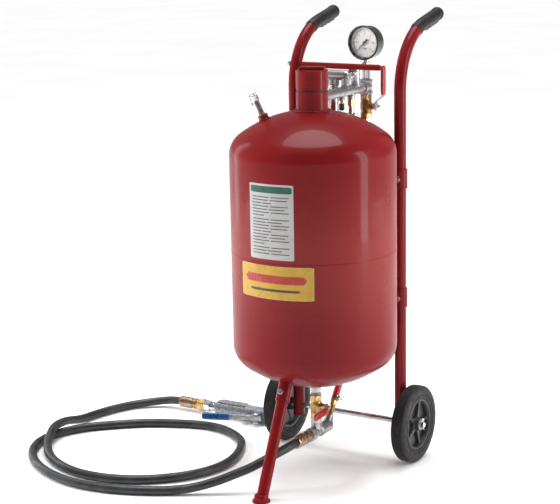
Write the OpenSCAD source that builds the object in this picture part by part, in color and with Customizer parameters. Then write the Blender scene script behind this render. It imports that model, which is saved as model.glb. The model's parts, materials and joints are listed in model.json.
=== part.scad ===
// Portable abrasive blasting pot: a welded pressure tank on a two-wheel stand,
// with an air manifold on top, a mixing valve below, a blast hose and a gun.
// Modules draw around the tank's upright axis, and at_tank() puts them in the frame.

/* [Tank] */
// Outer radius of the tank
tank_r = 165; // [150:1:180]
// Thickness of the tank's wall
wall = 3; // [2:0.5:4]
// Height at which the lower dome ends and the straight wall starts
straight_low = 270; // [260:1:280]
// Height at which the straight wall ends and the upper dome starts
straight_high = 652; // [600:1:660]
// Height of the weld between the two shells
seam_z = 465; // [420:1:500]
// Crown radius of both domes
crown_r = 245; // [235:1:260]
// Knuckle radius of both domes
knuckle_r = 48.5; // [44:0.5:52]

/* [Filler] */
// Outer radius of the filler neck and its cap
neck_r = 31.6; // [29:0.1:33]
// Bore radius of the filler neck
neck_bore_r = 25; // [23:0.5:26]
// Height of the top of the neck
neck_top = 776; // [772:1:780]
// Thickness of the cap gasket
gasket_t = 3; // [2:0.5:4]
// Height of the cap above the gasket
cap_h = 38; // [34:1:42]

/* [Stand] */
// Half the distance between the handle tubes
tube_x = 122; // [120:1:123]
// Distance of the handle tubes and the axle behind the tank's axis
tube_y = 137.5; // [136:0.5:141]
// Outer radius of the handle tubes
tube_r = 12; // [11:0.5:12]
// Height at which the handle tubes start to bend back
bend_z = 763; // [755:1:775]
// Centreline radius of the handle bend
bend_r = 132; // [120:1:136]
// Angle through which the handles bend
bend_turn = 77; // [73:1:80]
// Reach of the grips behind the tank's axis
tip_reach = 313; // [306:1:320]
// Radius of the hand grips
grip_r = 14; // [13:0.5:15]
// Reach of the front foot before the tank's axis
foot_reach = 234; // [228:1:240]
// Radius of the front foot
foot_r = 18; // [16:0.5:20]

/* [Wheels] */
// Outer radius of the tyres and height of the axle
wheel_r = 80; // [78:1:82]
// Width of the tyres
tyre_w = 31; // [28:1:31]
// Distance of each wheel's middle from the tank's axis
wheel_x = 152; // [151.5:0.5:153]
// Radius of the axle
axle_r = 6; // [5.5:0.1:6.5]

/* [Air manifold] */
// Height of the manifold bar
bar_z = 760; // [758:1:761]
// Distance of the gauge and inlet valve behind the tank's axis
stack_y = 222; // [218:1:226]
// Height of the gauge's centre
gauge_z = 851; // [848:1:854]
// Radius of the gauge
gauge_r = 35.5; // [32:0.5:37]
// Height of the inlet valve's ball
inlet_z = 720; // [719:1:721]

/* [Outlet] */
// Height of the abrasive valve's ball
outlet_z = 134; // [133:1:135]
// Height of the mixing tee's axis
tee_z = 79; // [78:1:80]

/* [Hose and gun] */
// Radius of the blast hose
hose_r = 9; // [8:0.5:9]
// Radius of the red air hose
air_hose_r = 7.5; // [6.5:0.5:7.5]
// Radius of the gun's body
gun_r = 18; // [17:0.5:18]

/* [Hidden] */
$fn = 64;

paint = "firebrick";
steel = "silver";
zinc = "gainsboro";
bright_brass = "goldenrod";
black_rubber = "dimgray";

// Facing along Y, the frame's origin is halfway between the foot and the grip tips
tank_y = (foot_reach - tip_reach) / 2;

// Domes: the crown's centre lies dome_drop inside the end of the straight wall
dome_drop = sqrt(pow(crown_r - knuckle_r, 2) - pow(tank_r - knuckle_r, 2));
knuckle_turn = atan2(dome_drop, tank_r - knuckle_r);
crown_high = straight_high - dome_drop;
crown_low = straight_low + dome_drop;
bead_h = 1.2;
bead_w = 5;

// Filler
spigot_r = neck_bore_r - 0.3;
spigot_h = 11;
cap_low = neck_top + gasket_t;
cap_wall = 11;
lug = [50, 14, 6];
lug_turn = 25;
port_r = 6;

// Relief valve on the upper dome
relief_turn = 211.5;
relief_lean = 22.5;
boss_r = 9.5;
boss_h = 11;

// Stand
tube_wall = 2;
tube_low = 60;
joint_step = 0.05;
axle_z = wheel_r;
grip_slope = 90 - bend_turn;
bend_end = [tube_y + bend_r * (1 - cos(bend_turn)), bend_z + bend_r * sin(bend_turn)];
grip_chamfer = 4;
grip_turn = 15;
grip_l = (tip_reach - bend_end[0] - (grip_r - grip_chamfer) * sin(grip_slope)) / cos(grip_slope);
bracket_r = 14.5;
bracket_h = 40;
bracket_z = [345, 590];
bracket_turn = atan2(tube_y, tube_x);
hanger_r = 6;
hanger_z = 809;
hanger_y = tube_y + bend_r * (1 - cos(asin((hanger_z - bend_z) / bend_r)));
hanger_end = 74.5;

// Front leg: it leans back from the foot to the lower dome
leg_foot_y = foot_reach - foot_r;
leg_top = [116, 213];
leg_lean = atan2(leg_foot_y - leg_top[0], leg_top[1]);
leg_l = norm([leg_foot_y - leg_top[0], leg_top[1]]);
leg_r = 11.5;
socket_r = 14;
socket_l = 38;
leg_bolt_s = leg_l - 20;

// Wheels
rim_r = 52;
rim_w = 24;
hub_r = 15;
hub_in = 136;
hub_out = 168;
axle_end = 177;
spokes = 5;
run_gap = 0.08;

// Manifold
bar_r = 10.5;
trap_y = 135;
trap_x = -28;
trap_z = 792;
drain_y = 118;
safety_y = 177;
safety_z = 796;
barb_y = 157;
elbow_r = 13;

// Valves
valve_r = 10.5;
valve_hex_r = 13.5;
ball_r = 8.8;
ball_gap = 0.3;
stem_r = 4;
lever_t = 2.5;
lever_w = 11;
lever_x = 22;
inlet_out = 39;
outlet_out = 34;
inlet_l = 50;
outlet_l = 47;
inlet_bend = 10;
inlet_reach = 85;
outlet_bend = 2;
outlet_reach = 66;
outlet_drop = 3;

// Gun: it lies on its side, its axis along X from the end of the hose to the nozzle
gun_at = [-474, 200, gun_r];
ferrule_r = 12.5;
gun_fit_l = 100;
gun_l = 140;
ear_h = 4;
ears = [[80, -28], [98, -28], [106, -14], [118, 14], [92, 32], [80, 32]];
ear_screws = [[89, -22.8], [89, 25]];
pivot = [218, -27];
pivot_disc_r = 7.5;
lever_open = 20;
lever_l = 120;
nozzle_l = 52;

// Route of the blast hose, around the tank's axis: down from the mixing tee, two turns on
// the ground with the second passing over the first, and on to the gun
hose_route = [
    [0, -85, 79], [0, -97, 79], [-2.4, -117, 77.3], [-10.6, -139.4, 72], [-24.8, -161.2, 63],
    [-44.2, -181.3, 51], [-69.4, -201, 39], [-102, -224, 25], [-142, -250, 13.5],
    [-186, -276, 9], [-238, -302, 9], [-304, -322, 9], [-376, -326, 9], [-446, -308, 9],
    [-510, -274, 9], [-562, -226, 9], [-594, -168, 9], [-598, -104, 9], [-574, -44, 9],
    [-526, 8, 9], [-468, 54, 9], [-404, 84, 9], [-336, 102, 9], [-270, 88, 9], [-212, 44, 9],
    [-178, -24, 9], [-166, -90, 9], [-180, -154, 9], [-216, -208, 9], [-268, -250, 9],
    [-332, -274, 9], [-400, -276, 9], [-464, -256, 9], [-520, -220, 10], [-564, -172, 16],
    [-592, -116, 28], [-606, -58, 24], [-611, 2, 11], [-605, 60, 9], [-590, 112, 9],
    [-571, 150.5, 9.5], [-542.5, 179, 12], [-510, 195.5, 16], [-492, 199.3, 17.6],
    [-475, 200, 18]
];

// Route of the red air hose: from the manifold down behind the tank to the mixing tee
air_route = [
    [0, 157, 712], [0, 157, 703], [0, 163, 688], [0, 172, 668], [0, 177, 640],
    [0, 178, 600], [0, 178, 540], [0, 178, 480], [0, 178, 420], [0, 178, 360],
    [0, 178, 310], [0, 178, 280], [0, 174, 252], [0, 162, 226], [0, 144, 202],
    [0, 123, 180], [0, 103, 160], [0, 87, 141], [0, 75, 124]
];
barb_lean = 35;
barb_l = 32;
air_end = air_route[len(air_route) - 1];

// ---- helpers ----

module at_tank() {
    translate([0, tank_y, 0]) children();
}

// side is 1 for the +X side and -1 for the -X side
module on_side(side) {
    mirror([side < 0 ? 1 : 0, 0, 0]) children();
}

module tube(r, bore, h, fn = 64) {
    difference() {
        cylinder(r = r, h = h, $fn = fn);
        translate([0, 0, -1]) cylinder(r = bore, h = h + 2);
    }
}

module along_x() {
    rotate([0, 90, 0]) children();
}

module along_y() {
    rotate([-90, 0, 0]) children();
}

// A hexagonal bar, measured across its flats
module hex(flats, h) {
    cylinder(r = flats / 2 / cos(30), h = h, $fn = 6);
}

function arc(c, r, from, to, steps) = [
    for (i = [0 : steps])
        let (a = from + (to - from) * i / steps)
        c + r * [cos(a), sin(a)]
];

// Half outline of a dome that is inset by t, from the straight wall up to radius r_in
function dome(t, r_in) = concat(
    arc([tank_r - knuckle_r, 0], knuckle_r - t, 0, knuckle_turn, 8),
    arc([0, -dome_drop], crown_r - t, knuckle_turn + 3, acos(r_in / (crown_r - t)), 9)
);

function reversed(list) = [for (i = [len(list) - 1 : -1 : 0]) list[i]];

// Points of a smooth curve through a route: the route's points and one between each pair
function between(p, i) =
    let (a = p[max(i - 1, 0)], b = p[i], c = p[i + 1], d = p[min(i + 2, len(p) - 1)])
    let (m = (9 * (b + c) - a - d) / 16)
    [m[0], m[1], max(m[2], min(b[2], c[2]))];
function smooth(p) = concat(
    [for (i = [0 : len(p) - 2]) each [p[i], between(p, i)]],
    [p[len(p) - 1]]
);

function heading(p, i) =
    let (v = p[min(i + 1, len(p) - 1)] - p[max(i - 1, 0)])
    v / norm(v);
function across(v, hint) =
    let (w = hint - (hint * v) * v)
    w / norm(w);

// A round tube swept along the points p; hint is a direction the route never follows
module sweep(p, r, sides, hint) {
    rings = [
        for (i = [0 : len(p) - 1])
            let (v = heading(p, i), s = across(v, hint), u = cross(v, s))
            for (k = [0 : sides - 1])
                let (a = 360 * k / sides)
                p[i] + r * (cos(a) * s + sin(a) * u)
    ];
    last = (len(p) - 1) * sides;
    sides_of = [
        for (i = [0 : len(p) - 2], k = [0 : sides - 1])
            let (a = i * sides + k, b = i * sides + (k + 1) % sides)
            [a, a + sides, b + sides, b]
    ];
    start = [for (k = [0 : sides - 1]) k];
    end = [for (k = [sides - 1 : -1 : 0]) last + k];
    polyhedron(points = rings, faces = concat([start], sides_of, [end]), convexity = 10);
}

// ---- tank ----

// Solid of the whole tank's outer shape, for cutting what is welded to it
module tank_solid() {
    low = dome(0, 1);
    rotate_extrude($fn = 96) polygon(concat(
        [[0, straight_low + dome_drop - crown_r]],
        [for (q = reversed(low)) [q[0], straight_low - q[1]]],
        [for (q = low) [q[0], straight_high + q[1]]],
        [[0, straight_high - dome_drop + crown_r]]
    ));
}

module at_relief() {
    rotate([0, 0, relief_turn]) translate([0, 0, crown_high]) rotate([0, relief_lean, 0])
        translate([0, 0, crown_r]) children();
}

module tank_upper_shell() {
    outer = dome(0, neck_r);
    inner = dome(wall, neck_r);
    color(paint) at_tank() {
        rotate_extrude($fn = 96) polygon(concat(
            [[tank_r - wall, seam_z], [tank_r, seam_z]],
            [for (q = outer) [q[0], straight_high + q[1]]],
            [for (q = reversed(inner)) [q[0], straight_high + q[1]]]
        ));
        difference() {
            at_relief() translate([0, 0, -2]) tube(boss_r, 5, boss_h + 2);
            tank_solid();
        }
    }
}

module tank_lower_shell() {
    outer = dome(0, valve_r);
    inner = dome(wall, valve_r);
    color(paint) at_tank() rotate_extrude($fn = 96) polygon(concat(
        [
            [tank_r - wall, seam_z], [tank_r, seam_z], [tank_r + bead_h, seam_z - bead_w / 3],
            [tank_r + bead_h, seam_z - bead_w * 2 / 3], [tank_r, seam_z - bead_w]
        ],
        [for (q = outer) [q[0], straight_low - q[1]]],
        [for (q = reversed(inner)) [q[0], straight_low - q[1]]]
    ));
}

module filler_neck() {
    base = crown_high + crown_r - 18;
    color(paint) at_tank() difference() {
        translate([0, 0, base]) tube(neck_r, neck_bore_r, neck_top - base, 96);
        translate([0, 0, bar_z]) along_y() cylinder(r = port_r - 0.5, h = 60);
    }
}

module filler_cap_gasket() {
    lift = 0.02;
    color(black_rubber) at_tank() translate([0, 0, neck_top + lift])
        tube(neck_r + 0.4, neck_bore_r + 0.2, gasket_t - lift, 96);
}

module filler_cap() {
    color(paint) at_tank() translate([0, 0, cap_low]) {
        difference() {
            union() {
                rotate_extrude($fn = 96) polygon([
                    [0, 0], [neck_r, 0], [neck_r, cap_h - 2], [neck_r - 2, cap_h], [0, cap_h]
                ]);
                translate([0, 0, -spigot_h]) cylinder(r = spigot_r, h = spigot_h + 1);
            }
            translate([0, 0, -spigot_h - 1])
                cylinder(r = neck_r - cap_wall - 2, h = cap_h + spigot_h - cap_wall);
        }
        rotate([0, 0, lug_turn]) translate([-lug[0] / 2, -lug[1] / 2, cap_h]) cube(lug);
    }
}

// ---- stand ----

// Puts a child that stands on its Z axis along the leg, from the foot upward
module at_leg() {
    translate([0, -leg_foot_y, 0]) rotate([-leg_lean, 0, 0]) children();
}

module leg_socket() {
    color(paint) at_tank() difference() {
        at_leg() translate([0, 0, leg_l - socket_l])
            tube(socket_r, leg_r + 0.1, socket_l + 14);
        tank_solid();
        at_leg() translate([0, 0, leg_bolt_s]) along_y()
            cylinder(r = 3.1, h = 60, center = true);
    }
}

module front_leg() {
    color(paint) at_tank() difference() {
        union() {
            at_leg() cylinder(r = leg_r, h = leg_l - 6);
            translate([0, -leg_foot_y, 0]) rotate_extrude() polygon([
                [0, 0], [foot_r - 1, 0], [foot_r, 1], [foot_r, 2.5], [leg_r + 2, 10], [0, 10]
            ]);
        }
        at_leg() translate([0, 0, 16]) cylinder(r = leg_r - tube_wall, h = leg_l);
        at_leg() translate([0, 0, leg_bolt_s]) along_y()
            cylinder(r = 3.1, h = 60, center = true);
        translate([-30, -leg_foot_y - 30, -20]) cube([60, 60, 20]);
    }
}

// Puts a child that stands on its Z axis at the end of the handle's bend, toward the tip
module at_bend_end() {
    translate([tube_x, bend_end[0], bend_end[1]]) rotate([-bend_turn, 0, 0]) children();
}

// A round bar of radius r along the last angle degrees of the handle's bend
module bend_bar(r, angle) {
    translate([tube_x, tube_y + bend_r, bend_z]) rotate([90, 0, 90]) rotate([0, 0, 180])
        rotate([0, 0, -bend_turn]) rotate_extrude(angle = angle)
        translate([bend_r, 0]) circle(r = r);
}

module handle_tube(side) {
    bore = tube_r - tube_wall;
    color(paint) at_tank() on_side(side) difference() {
        union() {
            translate([tube_x, tube_y, tube_low]) cylinder(r = tube_r, h = bend_z - tube_low + 1);
            // Slightly thinner than the straight tubes, which reach over its ends
            bend_bar(tube_r - joint_step, bend_turn);
            at_bend_end() translate([0, 0, -1]) cylinder(r = tube_r, h = grip_l - 7);
        }
        translate([tube_x, tube_y, tube_low - 1]) cylinder(r = bore, h = bend_z - tube_low - 9);
        at_bend_end() translate([0, 0, 10]) cylinder(r = bore, h = grip_l);
        translate([tube_x - 20, tube_y, axle_z]) along_x() cylinder(r = axle_r + 0.1, h = 40);
        for (z = bracket_z)
            translate([tube_x, tube_y - 20, z]) along_y() cylinder(r = 3.1, h = 40);
        if (side < 0)
            translate([tube_x - 20, hanger_y, hanger_z]) along_x() cylinder(r = 3.1, h = 40);
    }
}

module handle_tube_left() {
    handle_tube(-1);
}

module handle_tube_right() {
    handle_tube(1);
}

module grip(side) {
    bumps = 4;
    pitch = (grip_l - 16) / bumps;
    color(black_rubber) at_tank() on_side(side) difference() {
        union() {
            bend_bar(grip_r - 1 - joint_step, grip_turn);
            at_bend_end() {
                rotate_extrude() polygon([
                    [0, -1], [grip_r - 1, -1], [grip_r - 1, grip_l - 12], [grip_r, grip_l - 10],
                    [grip_r, grip_l - grip_chamfer], [grip_r - grip_chamfer, grip_l],
                    [0, grip_l]
                ]);
                for (i = [0 : bumps - 1])
                    translate([0, 2.5, 4 + pitch * (i + 0.4)]) sphere(r = grip_r, $fn = 48);
            }
        }
        bend_bar(tube_r + joint_step, grip_turn + 3);
        at_bend_end() translate([0, 0, -1])
            cylinder(r = tube_r + joint_step * 2, h = grip_l - 6);
    }
}

module grip_left() {
    grip(-1);
}

module grip_right() {
    grip(1);
}

module tank_brackets() {
    reach = norm([tube_x, tube_y]);
    color(paint) at_tank() for (side = [-1, 1], z = bracket_z) on_side(side)
        difference() {
            union() {
                translate([tube_x, tube_y, z - bracket_h / 2])
                    cylinder(r = bracket_r, h = bracket_h);
                rotate([0, 0, bracket_turn]) translate([tank_r - 8, -3, z - bracket_h / 2])
                    cube([reach - tank_r, 6, bracket_h]);
            }
            translate([0, 0, z - bracket_h]) cylinder(r = tank_r, h = bracket_h * 2, $fn = 96);
            translate([tube_x, tube_y, z - bracket_h])
                cylinder(r = tube_r + 0.05, h = bracket_h * 2);
            translate([tube_x, tube_y - 20, z]) along_y() cylinder(r = 3.1, h = 40);
        }
}

// A bolt along Z with a hexagon head below zero and a nut past the length that it clamps
module hex_bolt(clamp, flats) {
    translate([0, 0, -4.5]) hex(flats, 4.5);
    cylinder(r = 3, h = clamp + 7);
    translate([0, 0, clamp]) hex(flats, 5);
}

module frame_bolts() {
    color(steel) at_tank() {
        for (side = [-1, 1], z = bracket_z) on_side(side)
            translate([tube_x, tube_y - bracket_r, z]) along_y()
            hex_bolt(bracket_r * 2, 11);
        at_leg() translate([0, -socket_r, leg_bolt_s]) along_y()
            hex_bolt(socket_r * 2, 9);
        translate([-tube_x - tube_r, hanger_y, hanger_z]) along_x() {
            translate([0, 0, -4.5]) hex(11, 4.5);
            cylinder(r = 3, h = tube_r * 2 + 14);
        }
    }
}

module hanger_bar() {
    from = -tube_x + tube_r;
    color(paint) at_tank() translate([from, hanger_y, hanger_z]) along_x() difference() {
        rotate_extrude() polygon([
            [0, 0], [hanger_r, 0], [hanger_r, hanger_end - from - 3],
            [hanger_r - 1, hanger_end - from - 1], [hanger_r - 3, hanger_end - from],
            [0, hanger_end - from]
        ]);
        translate([0, 0, -1]) cylinder(r = 3.05, h = 16);
    }
}

module axle() {
    color(steel) at_tank() translate([-axle_end, tube_y, axle_z]) difference() {
        along_x() rotate_extrude() polygon([
            [0, 0], [axle_r - 1, 0], [axle_r, 1], [axle_r, axle_end * 2 - 1],
            [axle_r - 1, axle_end * 2], [0, axle_end * 2]
        ]);
        for (x = [3.5, axle_end * 2 - 3.5])
            translate([x, 0, -10]) cylinder(r = 1.6, h = 20);
    }
}

// ---- wheels, drawn around an axis along Z and centred on zero ----

module at_wheel(side) {
    at_tank() translate([side * wheel_x, tube_y, axle_z]) rotate([0, side * 90, 0]) children();
}

module tyre(side) {
    half = tyre_w / 2;
    groove = 1.5;
    ribs = 5;
    rib = (tyre_w - 10) / ribs;
    color(black_rubber) at_wheel(side) rotate_extrude($fn = 96) polygon(concat(
        [[rim_r, -rim_w / 2], [rim_r + 6, -half + 1], [wheel_r - 14, -half], [wheel_r - 4, -half + 2]],
        [for (i = [0 : ribs - 1]) each [
            [wheel_r - (i == 0 ? 1.5 : 0), -half + 5 + rib * i],
            [wheel_r - (i == ribs - 1 ? 1.5 : 0), -half + 5 + rib * (i + 0.8)],
            [wheel_r - groove - 1, -half + 5 + rib * (i + 0.86)],
            [wheel_r - groove - 1, -half + 5 + rib * (i + 0.94)]
        ]],
        [[wheel_r - 4, half - 2], [wheel_r - 14, half], [rim_r + 6, half - 1], [rim_r, rim_w / 2]]
    ));
}

module tyre_left() {
    tyre(-1);
}

module tyre_right() {
    tyre(1);
}

module wheel_hub(side) {
    color("black") at_wheel(side) difference() {
        union() {
            translate([0, 0, -rim_w / 2]) tube(rim_r, rim_r - 6, rim_w, 96);
            translate([0, 0, hub_in - wheel_x]) cylinder(r = hub_r, h = hub_out - hub_in);
            translate([0, 0, -3]) cylinder(r = rim_r - 5, h = 6);
            for (i = [0 : spokes - 1]) rotate([0, 0, i * 360 / spokes])
                translate([hub_r - 2, -5, -10]) cube([rim_r - hub_r - 2, 10, 20]);
        }
        translate([0, 0, -50]) cylinder(r = axle_r + run_gap, h = 100);
    }
}

module wheel_hub_left() {
    wheel_hub(-1);
}

module wheel_hub_right() {
    wheel_hub(1);
}

module axle_washers() {
    color(zinc) at_tank() for (side = [-1, 1]) on_side(side)
        translate([0, tube_y, axle_z]) along_x() {
            translate([0, 0, hub_out + 0.3]) tube(11, axle_r + 0.05, 1.6);
            translate([0, 0, tube_x + tube_r]) tube(10, axle_r + 0.05, 1.6);
        }
}

module cotter_pins() {
    color(steel) at_tank() for (side = [-1, 1]) on_side(side)
        translate([axle_end - 3.5, tube_y, axle_z]) {
            translate([0, 0, -12]) cylinder(r = 1.5, h = 20);
            translate([0, 0, 9]) along_y() translate([0, 0, -1.2]) tube(3.2, 1.6, 2.4, 32);
        }
}

// ---- air manifold ----

module manifold_bar() {
    color(zinc) at_tank() difference() {
        union() {
            translate([0, 20, bar_z]) along_y() cylinder(r = bar_r, h = stack_y - 38);
            translate([0, trap_y, bar_z]) cylinder(r = 8, h = trap_z - bar_z - 10.5);
            translate([0, safety_y, bar_z]) cylinder(r = 9.5, h = 18);
            translate([0, barb_y, bar_z - 19]) cylinder(r = 8, h = 19);
            translate([0, drain_y, bar_z - 17]) cylinder(r = 6.5, h = 17);
        }
        translate([0, 0, bar_z - 20]) cylinder(r = neck_r, h = 40, $fn = 96);
        translate([0, 20, bar_z]) along_y() cylinder(r = port_r, h = stack_y);
        translate([0, trap_y, bar_z]) cylinder(r = 4, h = 60);
        translate([0, safety_y, bar_z]) cylinder(r = 4, h = 60);
        translate([0, barb_y, bar_z - 60]) cylinder(r = 4, h = 60);
    }
}

module manifold_elbow() {
    color(zinc) at_tank() translate([0, stack_y, bar_z]) difference() {
        union() {
            sphere(r = elbow_r);
            translate([0, -20, 0]) along_y() cylinder(r = elbow_r - 0.5, h = 20);
            translate([0, 0, -15]) cylinder(r = elbow_r - 0.5, h = 30);
            translate([0, -20, 0]) along_y() cylinder(r = elbow_r + 1, h = 5);
            translate([0, 0, 10]) cylinder(r = elbow_r + 1, h = 5);
            translate([0, 0, -15]) cylinder(r = elbow_r + 1, h = 5);
        }
        translate([0, -30, 0]) along_y() cylinder(r = 7, h = 30);
        translate([0, 0, -20]) cylinder(r = 7, h = 40);
        translate([0, -21, 0]) along_y() cylinder(r = bar_r + 0.05, h = 3);
    }
}

module safety_valve_body() {
    color(bright_brass) at_tank() translate([0, safety_y, bar_z + 18]) {
        cylinder(r = 9.5, h = 28);
        translate([0, -7, safety_z - bar_z - 18]) rotate([90, 0, 0]) difference() {
            union() {
                cylinder(r = 8.5, h = 9);
                translate([0, 0, 9]) hex(12, 5);
            }
            translate([0, 0, 4]) cylinder(r = 2.6, h = 20);
        }
    }
}

module safety_valve_ring() {
    ring_r = 7.5;
    stem_l = 14;
    color(steel) at_tank() translate([0, safety_y - 12, safety_z]) rotate([90, 0, 0]) {
        difference() {
            cylinder(r = 2.3, h = stem_l);
            translate([0, 0, stem_l - 3]) rotate([0, 90, 0])
                cylinder(r = 1.1, h = 10, center = true);
        }
        translate([0, -ring_r, stem_l - 3]) rotate_extrude() translate([ring_r, 0]) circle(r = 1, $fn = 24);
    }
}

module moisture_trap_head() {
    color(zinc) at_tank() difference() {
        union() {
            translate([-46, trap_y, trap_z]) along_x() cylinder(r = 10.5, h = 56);
            translate([trap_x, trap_y, trap_z - 18]) cylinder(r = 12, h = 14);
            translate([0, trap_y, trap_z - 10.5]) cylinder(r = 9, h = 10);
        }
        translate([0, trap_y, trap_z - 20]) cylinder(r = 4, h = 20);
        translate([trap_x, trap_y, trap_z - 20]) cylinder(r = 4, h = 20);
    }
}

module moisture_trap_bowl() {
    bowl_h = 66;
    color(steel) at_tank() translate([trap_x, trap_y, trap_z - 18 - bowl_h])
        rotate_extrude() polygon([
            [0, 0], [5, 0], [8, 2], [10, 6], [10, bowl_h - 5], [11, bowl_h - 4],
            [11, bowl_h], [8, bowl_h], [8, 8], [6, 4], [0, 3]
        ]);
}

module drain_cock_knob() {
    color("black") at_tank() translate([0, drain_y, bar_z - 17]) rotate([180, 0, 0]) {
        translate([0, 0, 0.3]) cylinder(r = 3, h = 8);
        translate([0, 0, 6]) rotate_extrude() polygon([
            [0, 0], [4.5, 0], [5.5, 2], [5.5, 12], [4.5, 14], [0, 14]
        ]);
    }
}

// ---- ball valves, drawn along Z around the ball with the stem toward +X ----

module ball_valve_body(length) {
    half = length / 2;
    color(bright_brass) difference() {
        union() {
            translate([0, 0, -half]) hex(valve_hex_r * 2 - 4, 11);
            translate([0, 0, half - 11]) hex(valve_hex_r * 2 - 4, 11);
            translate([0, 0, -half + 10]) cylinder(r = valve_hex_r - 1.5, h = length - 20);
            along_x() cylinder(r = 7, h = 17);
        }
        translate([0, 0, -half - 1]) cylinder(r = 6.5, h = length + 2);
        sphere(r = ball_r + ball_gap);
        along_x() cylinder(r = stem_r + run_gap, h = 30);
    }
}

module ball_valve_ball() {
    color(steel) {
        difference() {
            sphere(r = ball_r);
            translate([0, 0, -20]) cylinder(r = 5.5, h = 40);
        }
        translate([ball_r - 1, 0, 0]) along_x() cylinder(r = stem_r, h = 19);
    }
}

// A flat steel lever that leaves the stem along Z, bends outward and holds a vinyl sleeve
module ball_valve_lever(bend_at, reach, out) {
    color(steel) {
        difference() {
            union() {
                translate([lever_x, 0, 0]) along_x() cylinder(r = 8, h = lever_t);
                translate([lever_x, -lever_w / 2, 0]) cube([lever_t, lever_w, bend_at]);
                rotate([90, 0, 0]) translate([0, 0, -lever_w / 2])
                    linear_extrude(lever_w) polygon([
                        [lever_x, bend_at - 2], [lever_x + lever_t, bend_at - 2],
                        [out + lever_t, bend_at + 12], [out + lever_t, reach - 4],
                        [out, reach - 4], [out, bend_at + 12.5]
                    ]);
            }
            along_x() cylinder(r = stem_r, h = 60);
        }
        translate([lever_x + lever_t, 0, 0]) along_x() difference() {
            hex(12, 5);
            translate([0, 0, -1]) cylinder(r = stem_r, h = 3.4);
        }
    }
}

module ball_valve_sleeve(from, reach, out) {
    mid = out + lever_t / 2;
    color("red") difference() {
        translate([mid - 4, -lever_w / 2 - 1.5, from]) cube([8, lever_w + 3, reach - from]);
        translate([out, -lever_w / 2, from - 1]) cube([lever_t, lever_w, reach - from - 3]);
    }
}

module at_inlet() {
    at_tank() translate([0, stack_y, inlet_z]) children();
}

// The closed lever of the abrasive valve points forward and dips a little
module at_outlet() {
    at_tank() translate([0, 0, outlet_z]) children();
}

module inlet_valve_body() {
    at_inlet() ball_valve_body(inlet_l);
}

module inlet_valve_ball() {
    at_inlet() ball_valve_ball();
}

module inlet_valve_lever() {
    at_inlet() ball_valve_lever(inlet_bend, inlet_reach, inlet_out);
}

module inlet_lever_sleeve() {
    at_inlet() ball_valve_sleeve(inlet_bend + 14, inlet_reach, inlet_out);
}

module air_plug() {
    top = inlet_z - inlet_l / 2;
    color(steel) at_tank() translate([0, stack_y, top]) rotate([180, 0, 0]) difference() {
        union() {
            hex(17, 8);
            cylinder(r = 6, h = 20);
            translate([0, 0, 14]) cylinder(r = 5.9, h = 22);
            translate([0, 0, 20]) cylinder(r = 7.4, h = 4);
        }
        translate([0, 0, -1]) cylinder(r = 3, h = 50);
    }
}

// ---- gauge, facing forward ----

module gauge_riser() {
    low = bar_z + 15;
    high = gauge_z - gauge_r - 14;
    color(steel) at_tank() difference() {
        translate([0, stack_y, 0]) {
            translate([0, 0, low]) tube(9.5, 4, high - low);
            translate([0, 0, high]) hex(17, 18);
        }
        translate([0, stack_y - 20, gauge_z]) along_y() {
            cylinder(r = gauge_r - 1, h = 40, $fn = 96);
            cylinder(r = gauge_r + 0.2, h = 13.2, $fn = 96);
        }
    }
}

module at_gauge() {
    at_tank() translate([0, stack_y - 13, gauge_z]) along_y() children();
}

module gauge_case() {
    depth = 32;
    color("black") at_gauge() rotate_extrude($fn = 96) polygon([
        [0, depth], [gauge_r - 3, depth], [gauge_r - 1, depth - 3], [gauge_r - 1, 6],
        [gauge_r, 5], [gauge_r, 1], [gauge_r - 1, 0], [gauge_r - 4, 0],
        [gauge_r - 4, 10], [0, 10]
    ]);
}

module gauge_dial() {
    color("white") at_gauge() translate([0, 0, 8.5]) tube(gauge_r - 4.1, 1.5, 1.5, 96);
}

module gauge_needle() {
    color("black") at_gauge() translate([0, 0, 6]) rotate([0, 0, 135]) {
        linear_extrude(0.8) polygon([[-9, -1.5], [-9, 1.5], [0, 1.2], [23, 0.4], [23, -0.4], [0, -1.2]]);
        translate([0, 0, -1]) cylinder(r = 3, h = 2.2);
        cylinder(r = 1.2, h = 3.9);
    }
}

module gauge_lens() {
    color("lightblue", 0.3) at_gauge() translate([0, 0, 2]) cylinder(r = gauge_r - 4.1, h = 1.6, $fn = 96);
}

// ---- red air hose ----

module air_hose() {
    color("crimson") at_tank() sweep(air_route, air_hose_r, 12, [1, 0, 0]);
}

module at_lower_barb() {
    translate(air_end) rotate([180 - barb_lean, 0, 0]) children();
}

module hose_clamps() {
    color(steel) at_tank() {
        translate([0, barb_y, 704]) {
            tube(air_hose_r + 1.2, air_hose_r + 0.3, 9);
            translate([air_hose_r + 0.7, -3.5, 1]) cube([6, 7, 7]);
        }
        at_lower_barb() translate([0, 0, -11]) {
            tube(air_hose_r + 1.2, air_hose_r + 0.3, 9);
            translate([air_hose_r + 0.7, -3.5, 1]) cube([6, 7, 7]);
        }
    }
}

module hose_barbs() {
    color(bright_brass) at_tank() {
        translate([0, barb_y, 712]) cylinder(r = 6.2, h = 18);
        translate([0, barb_y, 728]) hex(13, bar_z - 19 - 728);
        at_lower_barb() {
            hex(13, 10);
            translate([0, 0, 10]) cylinder(r = 5.5, h = barb_l - 10);
        }
    }
}

// ---- outlet below the tank ----

module outlet_nipple() {
    low = outlet_z + outlet_l / 2;
    color(zinc) at_tank() translate([0, 0, low]) tube(valve_r, 6.5, 187 - low);
}

module abrasive_valve_body() {
    at_outlet() ball_valve_body(outlet_l);
}

module abrasive_valve_ball() {
    at_outlet() rotate([90 + outlet_drop, 0, 0]) ball_valve_ball();
}

module abrasive_valve_lever() {
    at_outlet() rotate([90 + outlet_drop, 0, 0]) ball_valve_lever(outlet_bend, outlet_reach, outlet_out);
}

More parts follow.
